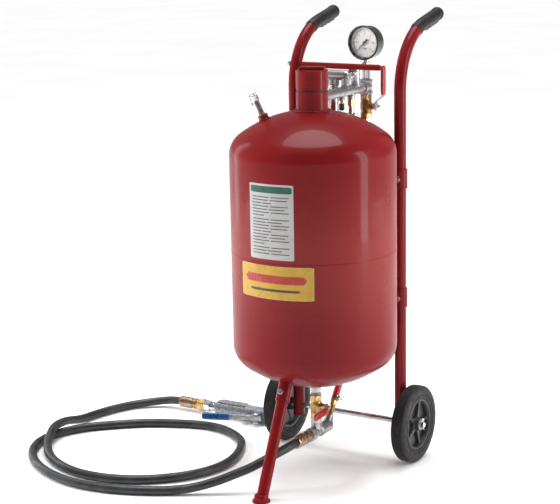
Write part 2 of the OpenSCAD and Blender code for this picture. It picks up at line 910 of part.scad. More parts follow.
module abrasive_lever_sleeve() {
    at_outlet() rotate([90 + outlet_drop, 0, 0])
        ball_valve_sleeve(outlet_bend + 13, outlet_reach, outlet_out);
}

module mixing_tee() {
    top = outlet_z - outlet_l / 2;
    color(zinc) at_tank() difference() {
        union() {
            translate([0, 0, tee_z]) cylinder(r = 11, h = top - tee_z - 8);
            translate([0, 0, top - 10]) hex(24, 10);
            translate([0, -18, tee_z]) along_y() cylinder(r = 11.5, h = 30);
            translate([0, -30, tee_z]) along_y() hex(24, 13);
            translate([0, 8, tee_z]) along_y() rotate_extrude() polygon([
                [0, 0], [12.5, 0], [13.5, 1.5], [13.5, 4], [12.5, 5.5], [12.5, 40],
                [11, 43], [8, 45], [0, 45]
            ]);
            at_lower_barb() translate([0, 0, barb_l])
                cylinder(r = 8, h = (air_end[2] - tee_z) / cos(barb_lean) - barb_l);
        }
        translate([0, -31, tee_z]) along_y() cylinder(r = 6.5, h = 80);
        translate([0, 0, tee_z]) cylinder(r = 6.5, h = 60);
    }
}

module hose_ferrule() {
    color("peru") at_tank() translate([0, -30, tee_z]) rotate([90, 0, 0]) difference() {
        rotate_extrude() polygon([
            [0, 0], [9, 0], [9, 6], [12.5, 7], [12.5, 18], [10.5, 20], [11.5, 22],
            [12.5, 24], [12.5, 52], [11.5, 54], [0, 54]
        ]);
        translate([0, 0, -1]) cylinder(r = 5, h = 60);
    }
}

module blast_hose() {
    color("darkslategray") at_tank() sweep(smooth(hose_route), hose_r, 8, [0.2, 0.1, 1]);
}

// ---- relief valve ----

module relief_valve_body() {
    color(bright_brass) at_tank() at_relief() translate([0, 0, boss_h]) difference() {
        union() {
            rotate_extrude() polygon([
                [0, 0], [6, 0], [6, 5], [5, 6], [5, 30], [6, 32], [6, 40], [0, 40]
            ]);
            translate([0, 0, -boss_h]) cylinder(r = 4.95, h = boss_h);
        }
        translate([0, 0, 10]) cylinder(r = 1.9, h = 40);
    }
}

module relief_pull_ring() {
    ring_r = 9;
    top = 28.5;
    color(steel) at_tank() at_relief() translate([0, 0, boss_h + 12]) {
        cylinder(r = 1.6, h = top + 4.5);
        translate([0, 0, top]) cylinder(r = 5.5, h = 4);
        translate([3, -2.5, top]) cube([8.5, 5, 4]);
        translate([9.2, 0, top + 2 - ring_r]) rotate([0, 90, 0])
            rotate_extrude() translate([ring_r, 0]) circle(r = 0.9, $fn = 24);
    }
}

// ---- gun ----

module at_gun() {
    at_tank() translate(gun_at) children();
}

module gun_hose_fitting() {
    color(bright_brass) at_gun() along_x() difference() {
        union() {
            rotate_extrude() polygon([
                [0, 0], [ferrule_r - 1, 0], [ferrule_r, 2], [ferrule_r, 34], [9.5, 35],
                [9.5, 38], [ferrule_r, 39], [ferrule_r, 49], [10, 50], [0, 50]
            ]);
            translate([0, 0, 50]) hex(26, 18);
            translate([0, 0, 68]) hex(24, 15);
            translate([0, 0, 83]) cylinder(r = 10.5, h = 17);
        }
        translate([0, 0, -1]) cylinder(r = 5, h = 80);
    }
}

// The whole die-cast body, before it is split at the plane through its axis
module gun_casting() {
    difference() {
        union() {
            along_x() rotate_extrude() polygon([
                [0, gun_fit_l], [gun_r - 3, gun_fit_l], [gun_r, gun_fit_l + 4],
                [gun_r, gun_fit_l + gun_l - 6], [gun_r - 3, gun_fit_l + gun_l],
                [0, gun_fit_l + gun_l]
            ]);
            translate([gun_fit_l, 0, -ear_h]) linear_extrude(ear_h * 2) polygon(ears);
            for (z = [-9.5, 6.5]) translate([pivot[0] - 8, pivot[1] - 7, z])
                cube([16, -pivot[1], 3]);
        }
        along_x() translate([0, 0, gun_fit_l - 1]) cylinder(r = 8, h = gun_l + 2);
        gun_screw_places() translate([0, 0, -20]) cylinder(r = 2.1, h = 40);
        translate([pivot[0], pivot[1], -20]) cylinder(r = 2.5, h = 40);
    }
}

module gun_screw_places() {
    for (at = ear_screws) translate([gun_fit_l + at[0], at[1], 0]) children();
}

module gun_body_lower() {
    color("slategray") at_gun() difference() {
        gun_casting();
        translate([0, -60, 0]) cube([300, 120, 40]);
    }
}

module gun_body_upper() {
    color("slategray") at_gun() difference() {
        gun_casting();
        translate([0, -60, -40]) cube([300, 120, 40]);
    }
}

module gun_screws() {
    color(steel) at_gun() gun_screw_places() {
        translate([0, 0, -ear_h]) cylinder(r = 2, h = ear_h * 2);
        translate([0, 0, ear_h]) cylinder(r = 4, h = 2.6);
        translate([0, 0, -ear_h - 2.6]) cylinder(r = 4, h = 2.6);
    }
}

module at_gun_pivot() {
    at_gun() translate([pivot[0], pivot[1], 0]) rotate([0, 0, 180 + lever_open]) children();
}

module gun_lever() {
    color(zinc) at_gun_pivot() difference() {
        union() {
            translate([0, 0, -6]) cylinder(r = 7, h = 12);
            translate([-12, -1.5, -6]) cube([lever_l + 12, 3, 12]);
        }
        translate([0, 0, -10]) cylinder(r = 2.5 + run_gap, h = 20);
    }
}

module gun_lever_grip() {
    from = lever_l / 2;
    color("royalblue") at_gun_pivot() difference() {
        translate([from, -4, -8]) cube([lever_l - from + 3, 8, 16]);
        translate([from - 1, -1.5, -6]) cube([lever_l - from + 1, 3, 12]);
    }
}

module gun_pivot_pin() {
    color(steel) at_gun() translate([pivot[0], pivot[1], 0]) {
        translate([0, 0, -11]) cylinder(r = 2.5, h = 22);
        translate([0, 0, 9.5]) cylinder(r = pivot_disc_r, h = 2);
        translate([0, 0, -11.5]) cylinder(r = pivot_disc_r, h = 2);
    }
}

module gun_nozzle_nut() {
    color("black") at_gun() translate([gun_fit_l + gun_l, 0, 0]) along_x() difference() {
        union() {
            cylinder(r = 7, h = nozzle_l - 18);
            translate([0, 0, 9]) hex(23, 19);
        }
        translate([0, 0, -1]) cylinder(r = 4.55, h = nozzle_l);
    }
}

module gun_nozzle() {
    color("ivory") at_gun() translate([gun_fit_l + gun_l, 0, 0]) along_x() difference() {
        rotate_extrude() polygon([
            [0, 0], [4.5, 0], [4.5, nozzle_l - 2], [3.5, nozzle_l], [0, nozzle_l]
        ]);
        translate([0, 0, -1]) cylinder(r = 2.5, h = nozzle_l + 2);
    }
}

tank_upper_shell();
tank_lower_shell();
filler_neck();
filler_cap_gasket();
filler_cap();
leg_socket();
front_leg();
handle_tube_left();
handle_tube_right();
grip_left();
grip_right();
tank_brackets();
frame_bolts();
hanger_bar();
axle();
tyre_left();
tyre_right();
wheel_hub_left();
wheel_hub_right();
axle_washers();
cotter_pins();
manifold_bar();
manifold_elbow();
safety_valve_body();
safety_valve_ring();
moisture_trap_head();
moisture_trap_bowl();
drain_cock_knob();
inlet_valve_body();
inlet_valve_ball();
inlet_valve_lever();
inlet_lever_sleeve();
air_plug();
gauge_riser();
gauge_case();
gauge_dial();
gauge_needle();
gauge_lens();
air_hose();
hose_clamps();
hose_barbs();
outlet_nipple();
abrasive_valve_body();
abrasive_valve_ball();
abrasive_valve_lever();
abrasive_lever_sleeve();
mixing_tee();
hose_ferrule();
blast_hose();
relief_valve_body();
relief_pull_ring();
gun_hose_fitting();
gun_body_lower();
gun_body_upper();
gun_screws();
gun_lever();
gun_lever_grip();
gun_pivot_pin();
gun_nozzle();
gun_nozzle_nut();
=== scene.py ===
"""Looks of a portable abrasive blasting pot: a red pressure tank on a two-wheel stand, with an
air manifold, brass valves, a blast hose and a lever gun.

Shapes are drawn in millimetres around the tank's upright axis, as the part's source draws them,
and Piece puts them in the row frame. Each piece stands for the CAD nodes that it names."""

import json
import math

import bmesh
import bpy
from mathutils import Matrix, Vector
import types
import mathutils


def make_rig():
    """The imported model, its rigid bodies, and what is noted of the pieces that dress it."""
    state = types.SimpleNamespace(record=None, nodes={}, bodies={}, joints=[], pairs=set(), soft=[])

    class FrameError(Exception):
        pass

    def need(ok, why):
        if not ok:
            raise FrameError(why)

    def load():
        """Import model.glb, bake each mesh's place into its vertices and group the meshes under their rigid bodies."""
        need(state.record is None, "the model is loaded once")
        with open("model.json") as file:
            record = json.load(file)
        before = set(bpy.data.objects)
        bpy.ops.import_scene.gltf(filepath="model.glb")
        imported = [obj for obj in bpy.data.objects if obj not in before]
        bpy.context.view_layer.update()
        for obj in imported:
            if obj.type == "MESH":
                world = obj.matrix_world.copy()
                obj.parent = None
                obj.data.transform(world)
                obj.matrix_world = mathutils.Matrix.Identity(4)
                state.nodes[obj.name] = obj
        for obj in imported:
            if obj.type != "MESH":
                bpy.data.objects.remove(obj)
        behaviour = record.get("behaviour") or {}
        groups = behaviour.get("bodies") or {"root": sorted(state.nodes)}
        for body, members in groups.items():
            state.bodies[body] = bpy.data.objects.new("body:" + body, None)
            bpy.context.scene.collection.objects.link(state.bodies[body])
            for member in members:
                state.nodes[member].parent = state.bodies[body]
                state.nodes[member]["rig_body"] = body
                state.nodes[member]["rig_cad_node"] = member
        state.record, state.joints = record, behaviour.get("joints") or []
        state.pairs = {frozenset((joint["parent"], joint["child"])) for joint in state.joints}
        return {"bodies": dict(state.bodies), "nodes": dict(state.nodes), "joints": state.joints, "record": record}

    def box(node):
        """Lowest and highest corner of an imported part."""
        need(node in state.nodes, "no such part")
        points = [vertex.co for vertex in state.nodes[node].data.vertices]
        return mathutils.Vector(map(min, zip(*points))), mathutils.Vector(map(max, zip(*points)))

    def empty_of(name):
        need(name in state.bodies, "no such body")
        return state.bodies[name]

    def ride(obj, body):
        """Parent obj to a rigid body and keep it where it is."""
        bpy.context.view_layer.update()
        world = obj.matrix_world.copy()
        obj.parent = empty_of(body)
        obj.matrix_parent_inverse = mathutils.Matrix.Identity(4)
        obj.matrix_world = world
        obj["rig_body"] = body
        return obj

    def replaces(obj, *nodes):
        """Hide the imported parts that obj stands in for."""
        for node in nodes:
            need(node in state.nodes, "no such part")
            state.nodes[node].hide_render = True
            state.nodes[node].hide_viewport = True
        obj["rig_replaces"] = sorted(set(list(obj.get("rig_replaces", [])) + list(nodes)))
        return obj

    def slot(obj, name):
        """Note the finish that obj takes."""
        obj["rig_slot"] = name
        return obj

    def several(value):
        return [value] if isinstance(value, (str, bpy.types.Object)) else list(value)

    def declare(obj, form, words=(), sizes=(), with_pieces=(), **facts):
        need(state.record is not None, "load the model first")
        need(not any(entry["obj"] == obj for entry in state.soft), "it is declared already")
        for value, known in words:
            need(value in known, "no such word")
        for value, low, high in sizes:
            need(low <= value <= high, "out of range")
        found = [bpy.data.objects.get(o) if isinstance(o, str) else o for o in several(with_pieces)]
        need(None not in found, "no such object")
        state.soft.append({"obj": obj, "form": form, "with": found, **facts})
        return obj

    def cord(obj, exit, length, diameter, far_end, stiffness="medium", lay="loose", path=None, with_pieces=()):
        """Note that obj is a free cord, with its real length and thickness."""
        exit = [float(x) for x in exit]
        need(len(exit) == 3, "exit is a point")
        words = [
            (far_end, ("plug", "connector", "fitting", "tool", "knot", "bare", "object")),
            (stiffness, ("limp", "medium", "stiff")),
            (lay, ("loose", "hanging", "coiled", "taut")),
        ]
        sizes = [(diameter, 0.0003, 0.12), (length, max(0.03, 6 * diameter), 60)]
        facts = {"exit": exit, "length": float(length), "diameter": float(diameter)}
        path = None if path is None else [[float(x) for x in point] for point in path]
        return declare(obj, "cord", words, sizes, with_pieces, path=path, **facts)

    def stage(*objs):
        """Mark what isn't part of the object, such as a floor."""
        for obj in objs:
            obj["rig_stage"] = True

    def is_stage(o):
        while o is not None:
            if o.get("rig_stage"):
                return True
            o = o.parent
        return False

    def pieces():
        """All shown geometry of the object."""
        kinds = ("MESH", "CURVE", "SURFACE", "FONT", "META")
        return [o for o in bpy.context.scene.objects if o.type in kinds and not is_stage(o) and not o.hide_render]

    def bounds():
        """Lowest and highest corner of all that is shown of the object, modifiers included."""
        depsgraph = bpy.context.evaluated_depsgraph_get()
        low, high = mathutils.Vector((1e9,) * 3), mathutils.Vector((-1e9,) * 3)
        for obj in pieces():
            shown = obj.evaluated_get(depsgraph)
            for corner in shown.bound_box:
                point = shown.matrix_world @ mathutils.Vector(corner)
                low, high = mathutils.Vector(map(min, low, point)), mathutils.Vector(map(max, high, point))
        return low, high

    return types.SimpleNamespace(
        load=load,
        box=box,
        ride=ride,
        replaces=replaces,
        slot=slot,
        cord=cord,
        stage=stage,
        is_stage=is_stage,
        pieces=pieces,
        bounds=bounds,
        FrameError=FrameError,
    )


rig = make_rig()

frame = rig.load()
cad_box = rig.bounds()

# ---- places and turns ----

tank_lo, tank_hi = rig.box("tank_lower_shell")
tank_x, tank_y = (tank_lo.x + tank_hi.x) / 2, (tank_lo.y + tank_hi.y) / 2
TO_ROW = Matrix.Translation((tank_x, tank_y, 0)) @ Matrix.Scale(0.001, 4)
HERE = Matrix()


def at(x=0, y=0, z=0):
    return Matrix.Translation((x, y, z))


def turn(angle, axis):
    return Matrix.Rotation(math.radians(angle), 4, axis)


# Each takes a shape that stands on its Z axis and points it another way
ALONG_X, ALONG_Y, FORWARD, DOWN = turn(90, "Y"), turn(-90, "X"), turn(90, "X"), turn(180, "X")


def mirrored(side):
    """Swaps left and right for side -1."""
    return Matrix.Diagonal((side, 1, 1, 1))


# ---- camera ----

AZIMUTH, PITCH, ROLL = 31.41, 12.21, -1.0
DISTANCE, OFF_RIGHT, AIM_HEIGHT = 3.25226, -0.06791, 0.45479
LENS, SENSOR = 104.947071, 36

turned_to = turn(AZIMUTH, "Z") @ turn(90 - PITCH, "X")
back = (turned_to @ Vector((0, 0, 1))).normalized()
right = (turned_to @ Vector((1, 0, 0))).normalized()
camera = bpy.data.objects.new("camera", bpy.data.cameras.new("camera"))
bpy.context.scene.collection.objects.link(camera)
camera.data.sensor_width = SENSOR
camera.data.lens = LENS
camera.data.clip_end = 200
aim = TO_ROW.translation + right * OFF_RIGHT + Vector((0, 0, AIM_HEIGHT))
camera.matrix_world = Matrix.Translation(aim + back * DISTANCE) @ turned_to @ turn(ROLL, "Z")
bpy.context.scene.camera = camera
bpy.context.scene.view_settings.view_transform = "Standard"

# ---- finishes ----


class Finish:
    """A procedural material; its textures are fixed to the piece, in metres."""

    def __init__(self, name, **values):
        self.name = name
        self.material = bpy.data.materials.new(name)
        self.material.use_nodes = True
        self.tree = self.material.node_tree
        self.shader = self.tree.nodes["Principled BSDF"]
        for socket, value in values.items():
            self.shader.inputs[socket.replace("_", " ").title().replace("Ior", "IOR")].default_value = value
        self.where = self.node("ShaderNodeTexCoord").outputs["Object"]
        self.normal = None

    def node(self, kind, inputs=(), **settings):
        made = self.tree.nodes.new(kind)
        for key, value in settings.items():
            setattr(made, key, value)
        for socket, value in dict(inputs).items():
            if isinstance(value, bpy.types.NodeSocket):
                self.tree.links.new(value, made.inputs[socket])
            else:
                made.inputs[socket].default_value = value
        return made

    def noise(self, scale, detail=3.0, stretch=(1, 1, 1)):
        where = self.node("ShaderNodeVectorMath", {0: self.where, 1: stretch}, operation="MULTIPLY")
        return self.node("ShaderNodeTexNoise", {"Vector": where.outputs[0], "Scale": scale,
            "Detail": detail}).outputs["Fac"]

    def spread(self, value, low, high, out_low=0.0, out_high=1.0):
        return self.node("ShaderNodeMapRange", {"Value": value, "From Min": low, "From Max": high,
            "To Min": out_low, "To Max": out_high}, interpolation_type="SMOOTHSTEP").outputs[0]

    def mix(self, share, a, b):
        rgba = [(*c, 1) if isinstance(c, tuple) else c for c in (a, b)]
        return self.node("ShaderNodeMix", {0: share, 6: rgba[0], 7: rgba[1]}, data_type="RGBA").outputs[2]

    def bump(self, height, depth_mm, strength=1.0):
        inputs = {"Height": height, "Distance": depth_mm / 1000, "Strength": strength}
        if self.normal:
            inputs["Normal"] = self.normal
        self.normal = self.node("ShaderNodeBump", inputs).outputs["Normal"]

    def link(self, socket, value):
        self.tree.links.new(value, self.shader.inputs[socket])

    def edges(self, low=0.50, high=0.56):
        """1 on outer edges, 0 elsewhere."""
        return self.spread(self.node("ShaderNodeNewGeometry").outputs["Pointiness"], low, high)

    def done(self):
        if self.normal:
            self.link("Normal", self.normal)
        return self.material


def surface(
    name, dark, light, mottle, rough, grain, depth_mm, edge=None, stretch=(1, 1, 1),
    smudge=0.0, **values
):
    """Colour that wanders between dark and light, roughness between two values, and a fine grain.

    edge is the colour of outer edges, lighter partly from wear and partly as a painted highlight, and smudge how far
    large soft marks darken it.
    """
    f = Finish(name, **values)
    colour = f.mix(f.spread(f.noise(mottle, 5, stretch), 0.35, 0.65), dark, light)
    if smudge:
        marks = f.spread(f.noise(mottle * 0.17, 2), 0.45, 0.7, 0, smudge)
        colour = f.mix(marks, colour, tuple(c * 0.45 for c in dark))
    if edge:
        # outer edges lightened: partly wear, partly a painted highlight
        edge_wear_and_highlight = f.node("ShaderNodeMath", {0: f.edges(),
            1: f.spread(f.noise(mottle * 2, 4), 0.4, 0.6, 0.25, 0.9)}, operation="MULTIPLY").outputs[0]
        colour = f.mix(edge_wear_and_highlight, colour, edge)
    f.link("Base Color", colour)
    f.link("Roughness", f.spread(f.noise(mottle * 1.7, 4, stretch), 0.3, 0.7, *rough))
    f.bump(f.noise(grain, 2, stretch), depth_mm)
    return f


def red_paint():
    f = Finish("red_paint", coat_weight=0.13, coat_roughness=0.05, specular_ior_level=0.06)
    tone = f.mix(f.spread(f.noise(7, 3), 0.3, 0.7), (0.152, 0.0070, 0.0084), (0.170, 0.0088, 0.0104))
    specks = f.spread(f.noise(900, 1), 0.70, 0.78, 0, 0.35)
    tone = f.mix(specks, tone, (0.20, 0.012, 0.014))
    # outer edges lightened toward pink: a painted highlight
    f.link("Base Color", f.mix(f.spread(f.edges(0.52, 0.60), 0, 1, 0, 0.35), tone, (0.28, 0.045, 0.04)))
    f.link("Roughness", f.spread(f.noise(14, 5), 0.3, 0.7, 0.26, 0.36))
    f.bump(f.noise(160, 1), 0.05)
    f.bump(f.noise(9, 1), 0.25, 0.5)
    return f


def cast_gun():
    f = surface("gun_cast", (0.13, 0.145, 0.165), (0.20, 0.215, 0.24), 90, (0.38, 0.55), 420, 0.12,
        edge=(0.42, 0.43, 0.45), metallic=0.55, smudge=0.4)
    cells = f.node("ShaderNodeTexVoronoi", {"Vector": f.where, "Scale": 330})
    f.bump(cells.outputs["Distance"], 0.10)
    return f


def hose_rubber():
    f = surface("hose_rubber", (0.016, 0.017, 0.019), (0.030, 0.031, 0.034), 35, (0.34, 0.55), 1100,
        0.04, smudge=0.35)
    dust = f.spread(f.noise(220, 4), 0.66, 0.80, 0, 1)
    f.bump(dust, 0.03)
    return f


def clear_lens():
    f = Finish("lens", alpha=0.03, ior=1.35, base_color=(0.96, 0.98, 1.0, 1))
    f.link("Roughness", f.spread(f.noise(60, 4), 0.4, 0.8, 0.0, 0.06))
    f.bump(f.noise(35, 1), 0.02)
    return f


FINISHES = {each.name: each.done() for each in (
    red_paint(),
    surface("galvanised", (0.34, 0.325, 0.33), (0.44, 0.42, 0.425), 70, (0.28, 0.42), 420, 0.02,
            edge=(0.62, 0.61, 0.61), metallic=0.9, smudge=0.2),
    surface("bright_steel", (0.56, 0.56, 0.57), (0.68, 0.68, 0.69), 90, (0.12, 0.22), 900, 0.010,
            edge=(0.80, 0.80, 0.80), metallic=1.0, smudge=0.15),
    surface("brass", (0.40, 0.235, 0.075), (0.50, 0.30, 0.10), 80, (0.26, 0.38), 500, 0.02,
            edge=(0.70, 0.50, 0.22), metallic=0.9, smudge=0.3),
    surface("tan_brass", (0.46, 0.36, 0.24), (0.56, 0.45, 0.31), 80, (0.24, 0.36), 500, 0.02,
            edge=(0.72, 0.62, 0.45), metallic=0.9, smudge=0.25),
    surface("brown_brass", (0.25, 0.125, 0.050), (0.34, 0.18, 0.072), 80, (0.28, 0.42), 500, 0.03,
            edge=(0.52, 0.33, 0.15), metallic=0.85, smudge=0.3),
    surface("dark_bronze", (0.115, 0.078, 0.062), (0.175, 0.120, 0.096), 90, (0.24, 0.38), 500, 0.03,
            edge=(0.40, 0.33, 0.29), metallic=0.85, smudge=0.3),
    surface("bronze_crimp", (0.36, 0.23, 0.14), (0.56, 0.42, 0.30), 220, (0.24, 0.40), 700, 0.04,
            edge=(0.80, 0.66, 0.50), metallic=0.95, smudge=0.4),
    surface("black_rubber", (0.007, 0.007, 0.0075), (0.013, 0.013, 0.014), 80, (0.34, 0.50), 700, 0.08,
            edge=(0.03, 0.03, 0.03), smudge=0.3, specular_ior_level=0.32),
    surface("tyre_rubber", (0.009, 0.0087, 0.0087), (0.017, 0.0163, 0.0163), 60, (0.50, 0.70), 900, 0.05,
            edge=(0.05, 0.048, 0.047), smudge=0.3, specular_ior_level=0.32),
    surface("hub_plastic", (0.016, 0.016, 0.017), (0.026, 0.026, 0.027), 70, (0.32, 0.48), 800, 0.05,
            edge=(0.055, 0.055, 0.055), smudge=0.3),
    surface("case_plastic", (0.012, 0.013, 0.014), (0.022, 0.023, 0.024), 60, (0.20, 0.34), 600, 0.04,
            edge=(0.07, 0.07, 0.07), coat_weight=0.3),
    surface("dial_white", (0.86, 0.86, 0.85), (0.92, 0.92, 0.91), 90, (0.40, 0.50), 900, 0.01),
    surface("needle_black", (0.012, 0.012, 0.012), (0.02, 0.02, 0.02), 300, (0.35, 0.5), 900, 0.01),
    clear_lens(),
    surface("red_hose", (0.40, 0.010, 0.014), (0.52, 0.018, 0.022), 45, (0.24, 0.38), 700, 0.05,
            coat_weight=0.25, smudge=0.15),
    surface("red_vinyl", (0.27, 0.008, 0.010), (0.34, 0.014, 0.014), 120, (0.20, 0.34), 420, 0.07,
            edge=(0.42, 0.04, 0.035), coat_weight=0.25),
    hose_rubber(),
    cast_gun(),
    surface("blue_vinyl", (0.010, 0.065, 0.20), (0.018, 0.10, 0.29), 120, (0.22, 0.36), 420, 0.07,
            edge=(0.05, 0.20, 0.42), coat_weight=0.3),
    surface("ceramic", (0.74, 0.71, 0.66), (0.84, 0.82, 0.78), 120, (0.50, 0.65), 900, 0.03),
    surface("thread_tape", (0.70, 0.71, 0.74), (0.82, 0.83, 0.85), 260, (0.45, 0.6), 1200, 0.10),
    surface("plate_white", (0.36, 0.355, 0.35), (0.40, 0.395, 0.39), 30, (0.28, 0.40), 500, 0.02),
    surface("plate_green", (0.006, 0.06, 0.038), (0.010, 0.08, 0.05), 60, (0.28, 0.40), 500, 0.02),
    surface("plate_print", (0.045, 0.045, 0.045), (0.08, 0.08, 0.08), 400, (0.4, 0.5), 800, 0.01),
    surface("plate_yellow", (0.42, 0.235, 0.012), (0.47, 0.275, 0.020), 30, (0.24, 0.36), 500, 0.02),
    surface("plate_edge", (0.42, 0.33, 0.14), (0.48, 0.40, 0.20), 60, (0.26, 0.38), 500, 0.02),
    surface("plate_red", (0.30, 0.014, 0.010), (0.35, 0.020, 0.014), 60, (0.26, 0.38), 500, 0.02),
    surface("plate_black", (0.02, 0.02, 0.02), (0.035, 0.033, 0.03), 60, (0.26, 0.38), 500, 0.02),
)}

# ---- shapes: each is (points, faces) of one closed shell ----


def polar(r, angle, z=0.0):
    return r * math.cos(angle), r * math.sin(angle), z


def soften(points, r, closed=False, steps=4):
    """Rounds the corners of a flat outline by r, or less where its edges are short."""
    out, n = [], len(points)
    for i, p in enumerate(points):
        if not closed and i in (0, n - 1):
            out.append(tuple(p))
            continue
        here = Vector(p)
        u, v = Vector(points[i - 1]) - here, Vector(points[(i + 1) % n]) - here
        if r <= 0 or min(u.length, v.length) < 1e-4 or u.angle(v) > math.radians(172):
            out.append(tuple(p))
            continue
        cut = min(r / math.tan(u.angle(v) / 2), 0.45 * u.length, 0.45 * v.length)
        a, b = here + u.normalized() * cut, here + v.normalized() * cut
        for k in range(steps + 1):
            t = k / steps
            out.append(tuple((1 - t) ** 2 * a + 2 * t * (1 - t) * here + t * t * b))
    return out


def bands(rings, closed=False):
    """Faces between rings of points; a ring of one point makes a fan."""
    faces = []
    for a, b in zip(rings, rings[1:] + (rings[:1] if closed else [])):
        for k in range(max(len(a), len(b))):
            loop = (a[k % len(a)], a[(k + 1) % len(a)], b[(k + 1) % len(b)], b[k % len(b)])
            loop = list(dict.fromkeys(loop))
            if len(loop) > 2:
                faces.append(loop)
    return faces


def turned(points, r=0.6, seg=64, closed=False):
    """A shape turned about Z from an outline of (radius, height) points with corners rounded by r."""
    verts, rings = [], []
    for radius, height in soften(points, r, closed):
        count = 1 if radius < 1e-4 else seg
        rings.append(list(range(len(verts), len(verts) + count)))
        verts += [polar(radius, 2 * math.pi * k / seg, height) for k in range(count)]
    return verts, bands(rings, closed)


def lofted(sections, closed=False):
    """A shell through sections that have the same number of 3-D points."""
    verts, rings = [], []
    for section in sections:
        rings.append(list(range(len(verts), len(verts) + len(section))))
        verts += [tuple(p) for p in section]
    faces = bands(rings, closed)
    return verts, faces if closed else faces + [rings[0][::-1], rings[-1]]


def swept(path, radius, sides=20, closed=False, hint=(0.21, 0.13, 0.97)):
    """A round bar along a path. radius is a number, or a function of the share along and the angle."""
    path = [Vector(p) for p in path]
    n, sections, across = len(path), [], None
    for i, p in enumerate(path):
        a = path[i - 1] if closed or i else p
        b = path[(i + 1) % n] if closed or i < n - 1 else p
        ahead = (b - a).normalized()
        across = across or Vector(hint)
        across = (across - ahead * across.dot(ahead)).normalized()
        other = ahead.cross(across)
        ring = []
        for k in range(sides):
            t = 2 * math.pi * k / sides
            r = radius(i / n, t) if callable(radius) else radius
            ring.append(p + (across * math.cos(t) + other * math.sin(t)) * r)
        sections.append(ring)
    return lofted(sections, closed)


def extruded(outline, height, edge=0.5, round_by=0.0, steps=3):
    """A plate of a flat outline from z 0 up, with its outer corners and its two rims rounded."""
    outline = [Vector(p) for p in soften(outline, round_by, closed=True)]
    area = sum(a.x * b.y - b.x * a.y for a, b in zip(outline, outline[1:] + outline[:1]))
    sign, n, inward = (1 if area > 0 else -1), len(outline), []
    for i, p in enumerate(outline):
        u = (p - outline[i - 1]).normalized()
        v = (outline[(i + 1) % n] - p).normalized()
        a, b = Vector((-u.y, u.x)) * sign, Vector((-v.y, v.x)) * sign
        inward.append((a + b) / max(0.35, 1 + a.dot(b)))
    edge = min(edge, height / 2)
    levels = []
    for k in range(steps + 1):
        t = math.pi / 2 * k / steps
        levels.append((edge * (1 - math.sin(t)), edge * (1 - math.cos(t))))
    levels += [(d, height - z) for d, z in reversed(levels)]
    return lofted([[(*(p + w * d), z) for p, w in zip(outline, inward)] for d, z in levels])


def block(x, y, z, edge=0.6, corner=0.8):
    """A slab centred on the Z axis, from z 0 up."""
    return extruded([(-x / 2, -y / 2), (x / 2, -y / 2), (x / 2, y / 2), (-x / 2, y / 2)], z, edge, corner)


def hexagon(flats, height, bore=0.0, seg=72):
    """A hexagon nut or bar with the turned chamfer of its corners."""
    flat = flats / 2
    face = min(flat * 0.97, flat - 0.15)
    rings = [[], [], [], [], [], []]
    for k in range(seg):
        a = 2 * math.pi * k / seg
        off = (a % (math.pi / 3)) - math.pi / 6
        reach = min(flat / math.cos(off), flat * 1.13)
        cut = min((reach - face) * 0.55, height * 0.3)
        for ring, (r, z) in zip(rings, (
            (bore, 0), (face, 0), (reach, cut), (reach, height - cut), (face, height), (bore, height)
        )):
            ring.append(polar(r, a, z))
    return lofted(rings, closed=True) if bore else lofted(rings[1:5])


def ring(radius, r, seg=48, sides=14):
    points = [(radius + r * math.cos(2 * math.pi * k / sides),
        r * math.sin(2 * math.pi * k / sides)) for k in range(sides)]
    return turned(points, 0, seg, closed=True)


def pipe(outer, bore, low, high, r=0.6, seg=64):
    return turned([(bore, low), (outer, low), (outer, high), (bore, high)], r, seg, closed=True)


def solid(points, r=0.6, seg=64):
    """A turned shape without a bore: the outline runs to the axis at both ends."""
    return turned([(0, points[0][1]), *points, (0, points[-1][1])], r, seg)


def round_bar(r, low, high, edge=0.6, seg=64):
    return solid([(r, low), (r, high)], edge, seg)


def thread(r, low, high, pitch=1.6, depth=0.7):
    """Outline points of a screw thread, for a turned outline."""
    points, z = [], low
    while z + pitch <= high:
        points += [(r - depth, z), (r, z + pitch * 0.35), (r, z + pitch * 0.6), (r - depth, z + pitch * 0.95)]
        z += pitch
    return points


def ribbed(r, foot_r, low, pitch, count, top, foot, end):
    """Outline points of ribs: each is top wide, its flank ends at foot and its groove at end."""
    return [
        q for z in (low + pitch * k for k in range(count))
        for q in ((r, z), (r, z + top), (foot_r, z + foot), (foot_r, z + end))
    ]


def circle(radius, z=0, count=120):
    return [polar(radius, 2 * math.pi * k / count, z) for k in range(count)]


def rippled(r, waves, height=0.12):
    """Radius of a weld bead that is laid in waves."""
    return lambda share, angle: r * (1 + height * math.sin(share * waves * 2 * math.pi))


def weld_ring(radius, z, r, count=240):
    return swept(circle(radius, z, count), rippled(r, int(radius * 1.6)), 10, closed=True)


def between(p, steps=4):
    """A smooth curve through a route's points that never dips below them."""
    out = []
    for i in range(len(p) - 1):
        a, b, c, d = p[max(i - 1, 0)], p[i], p[i + 1], p[min(i + 2, len(p) - 1)]
        for k in range(steps):
            t = k / steps
            q = [
                0.5 * (2 * b[j] + (c[j] - a[j]) * t + (2 * a[j] - 5 * b[j] + 4 * c[j] - d[j]) * t * t
                       + (3 * b[j] - a[j] - 3 * c[j] + d[j]) * t ** 3)
                for j in range(3)
            ]
            q[2] = max(q[2], min(b[2], c[2]))
            out.append(q)
    return out + [list(p[-1])]


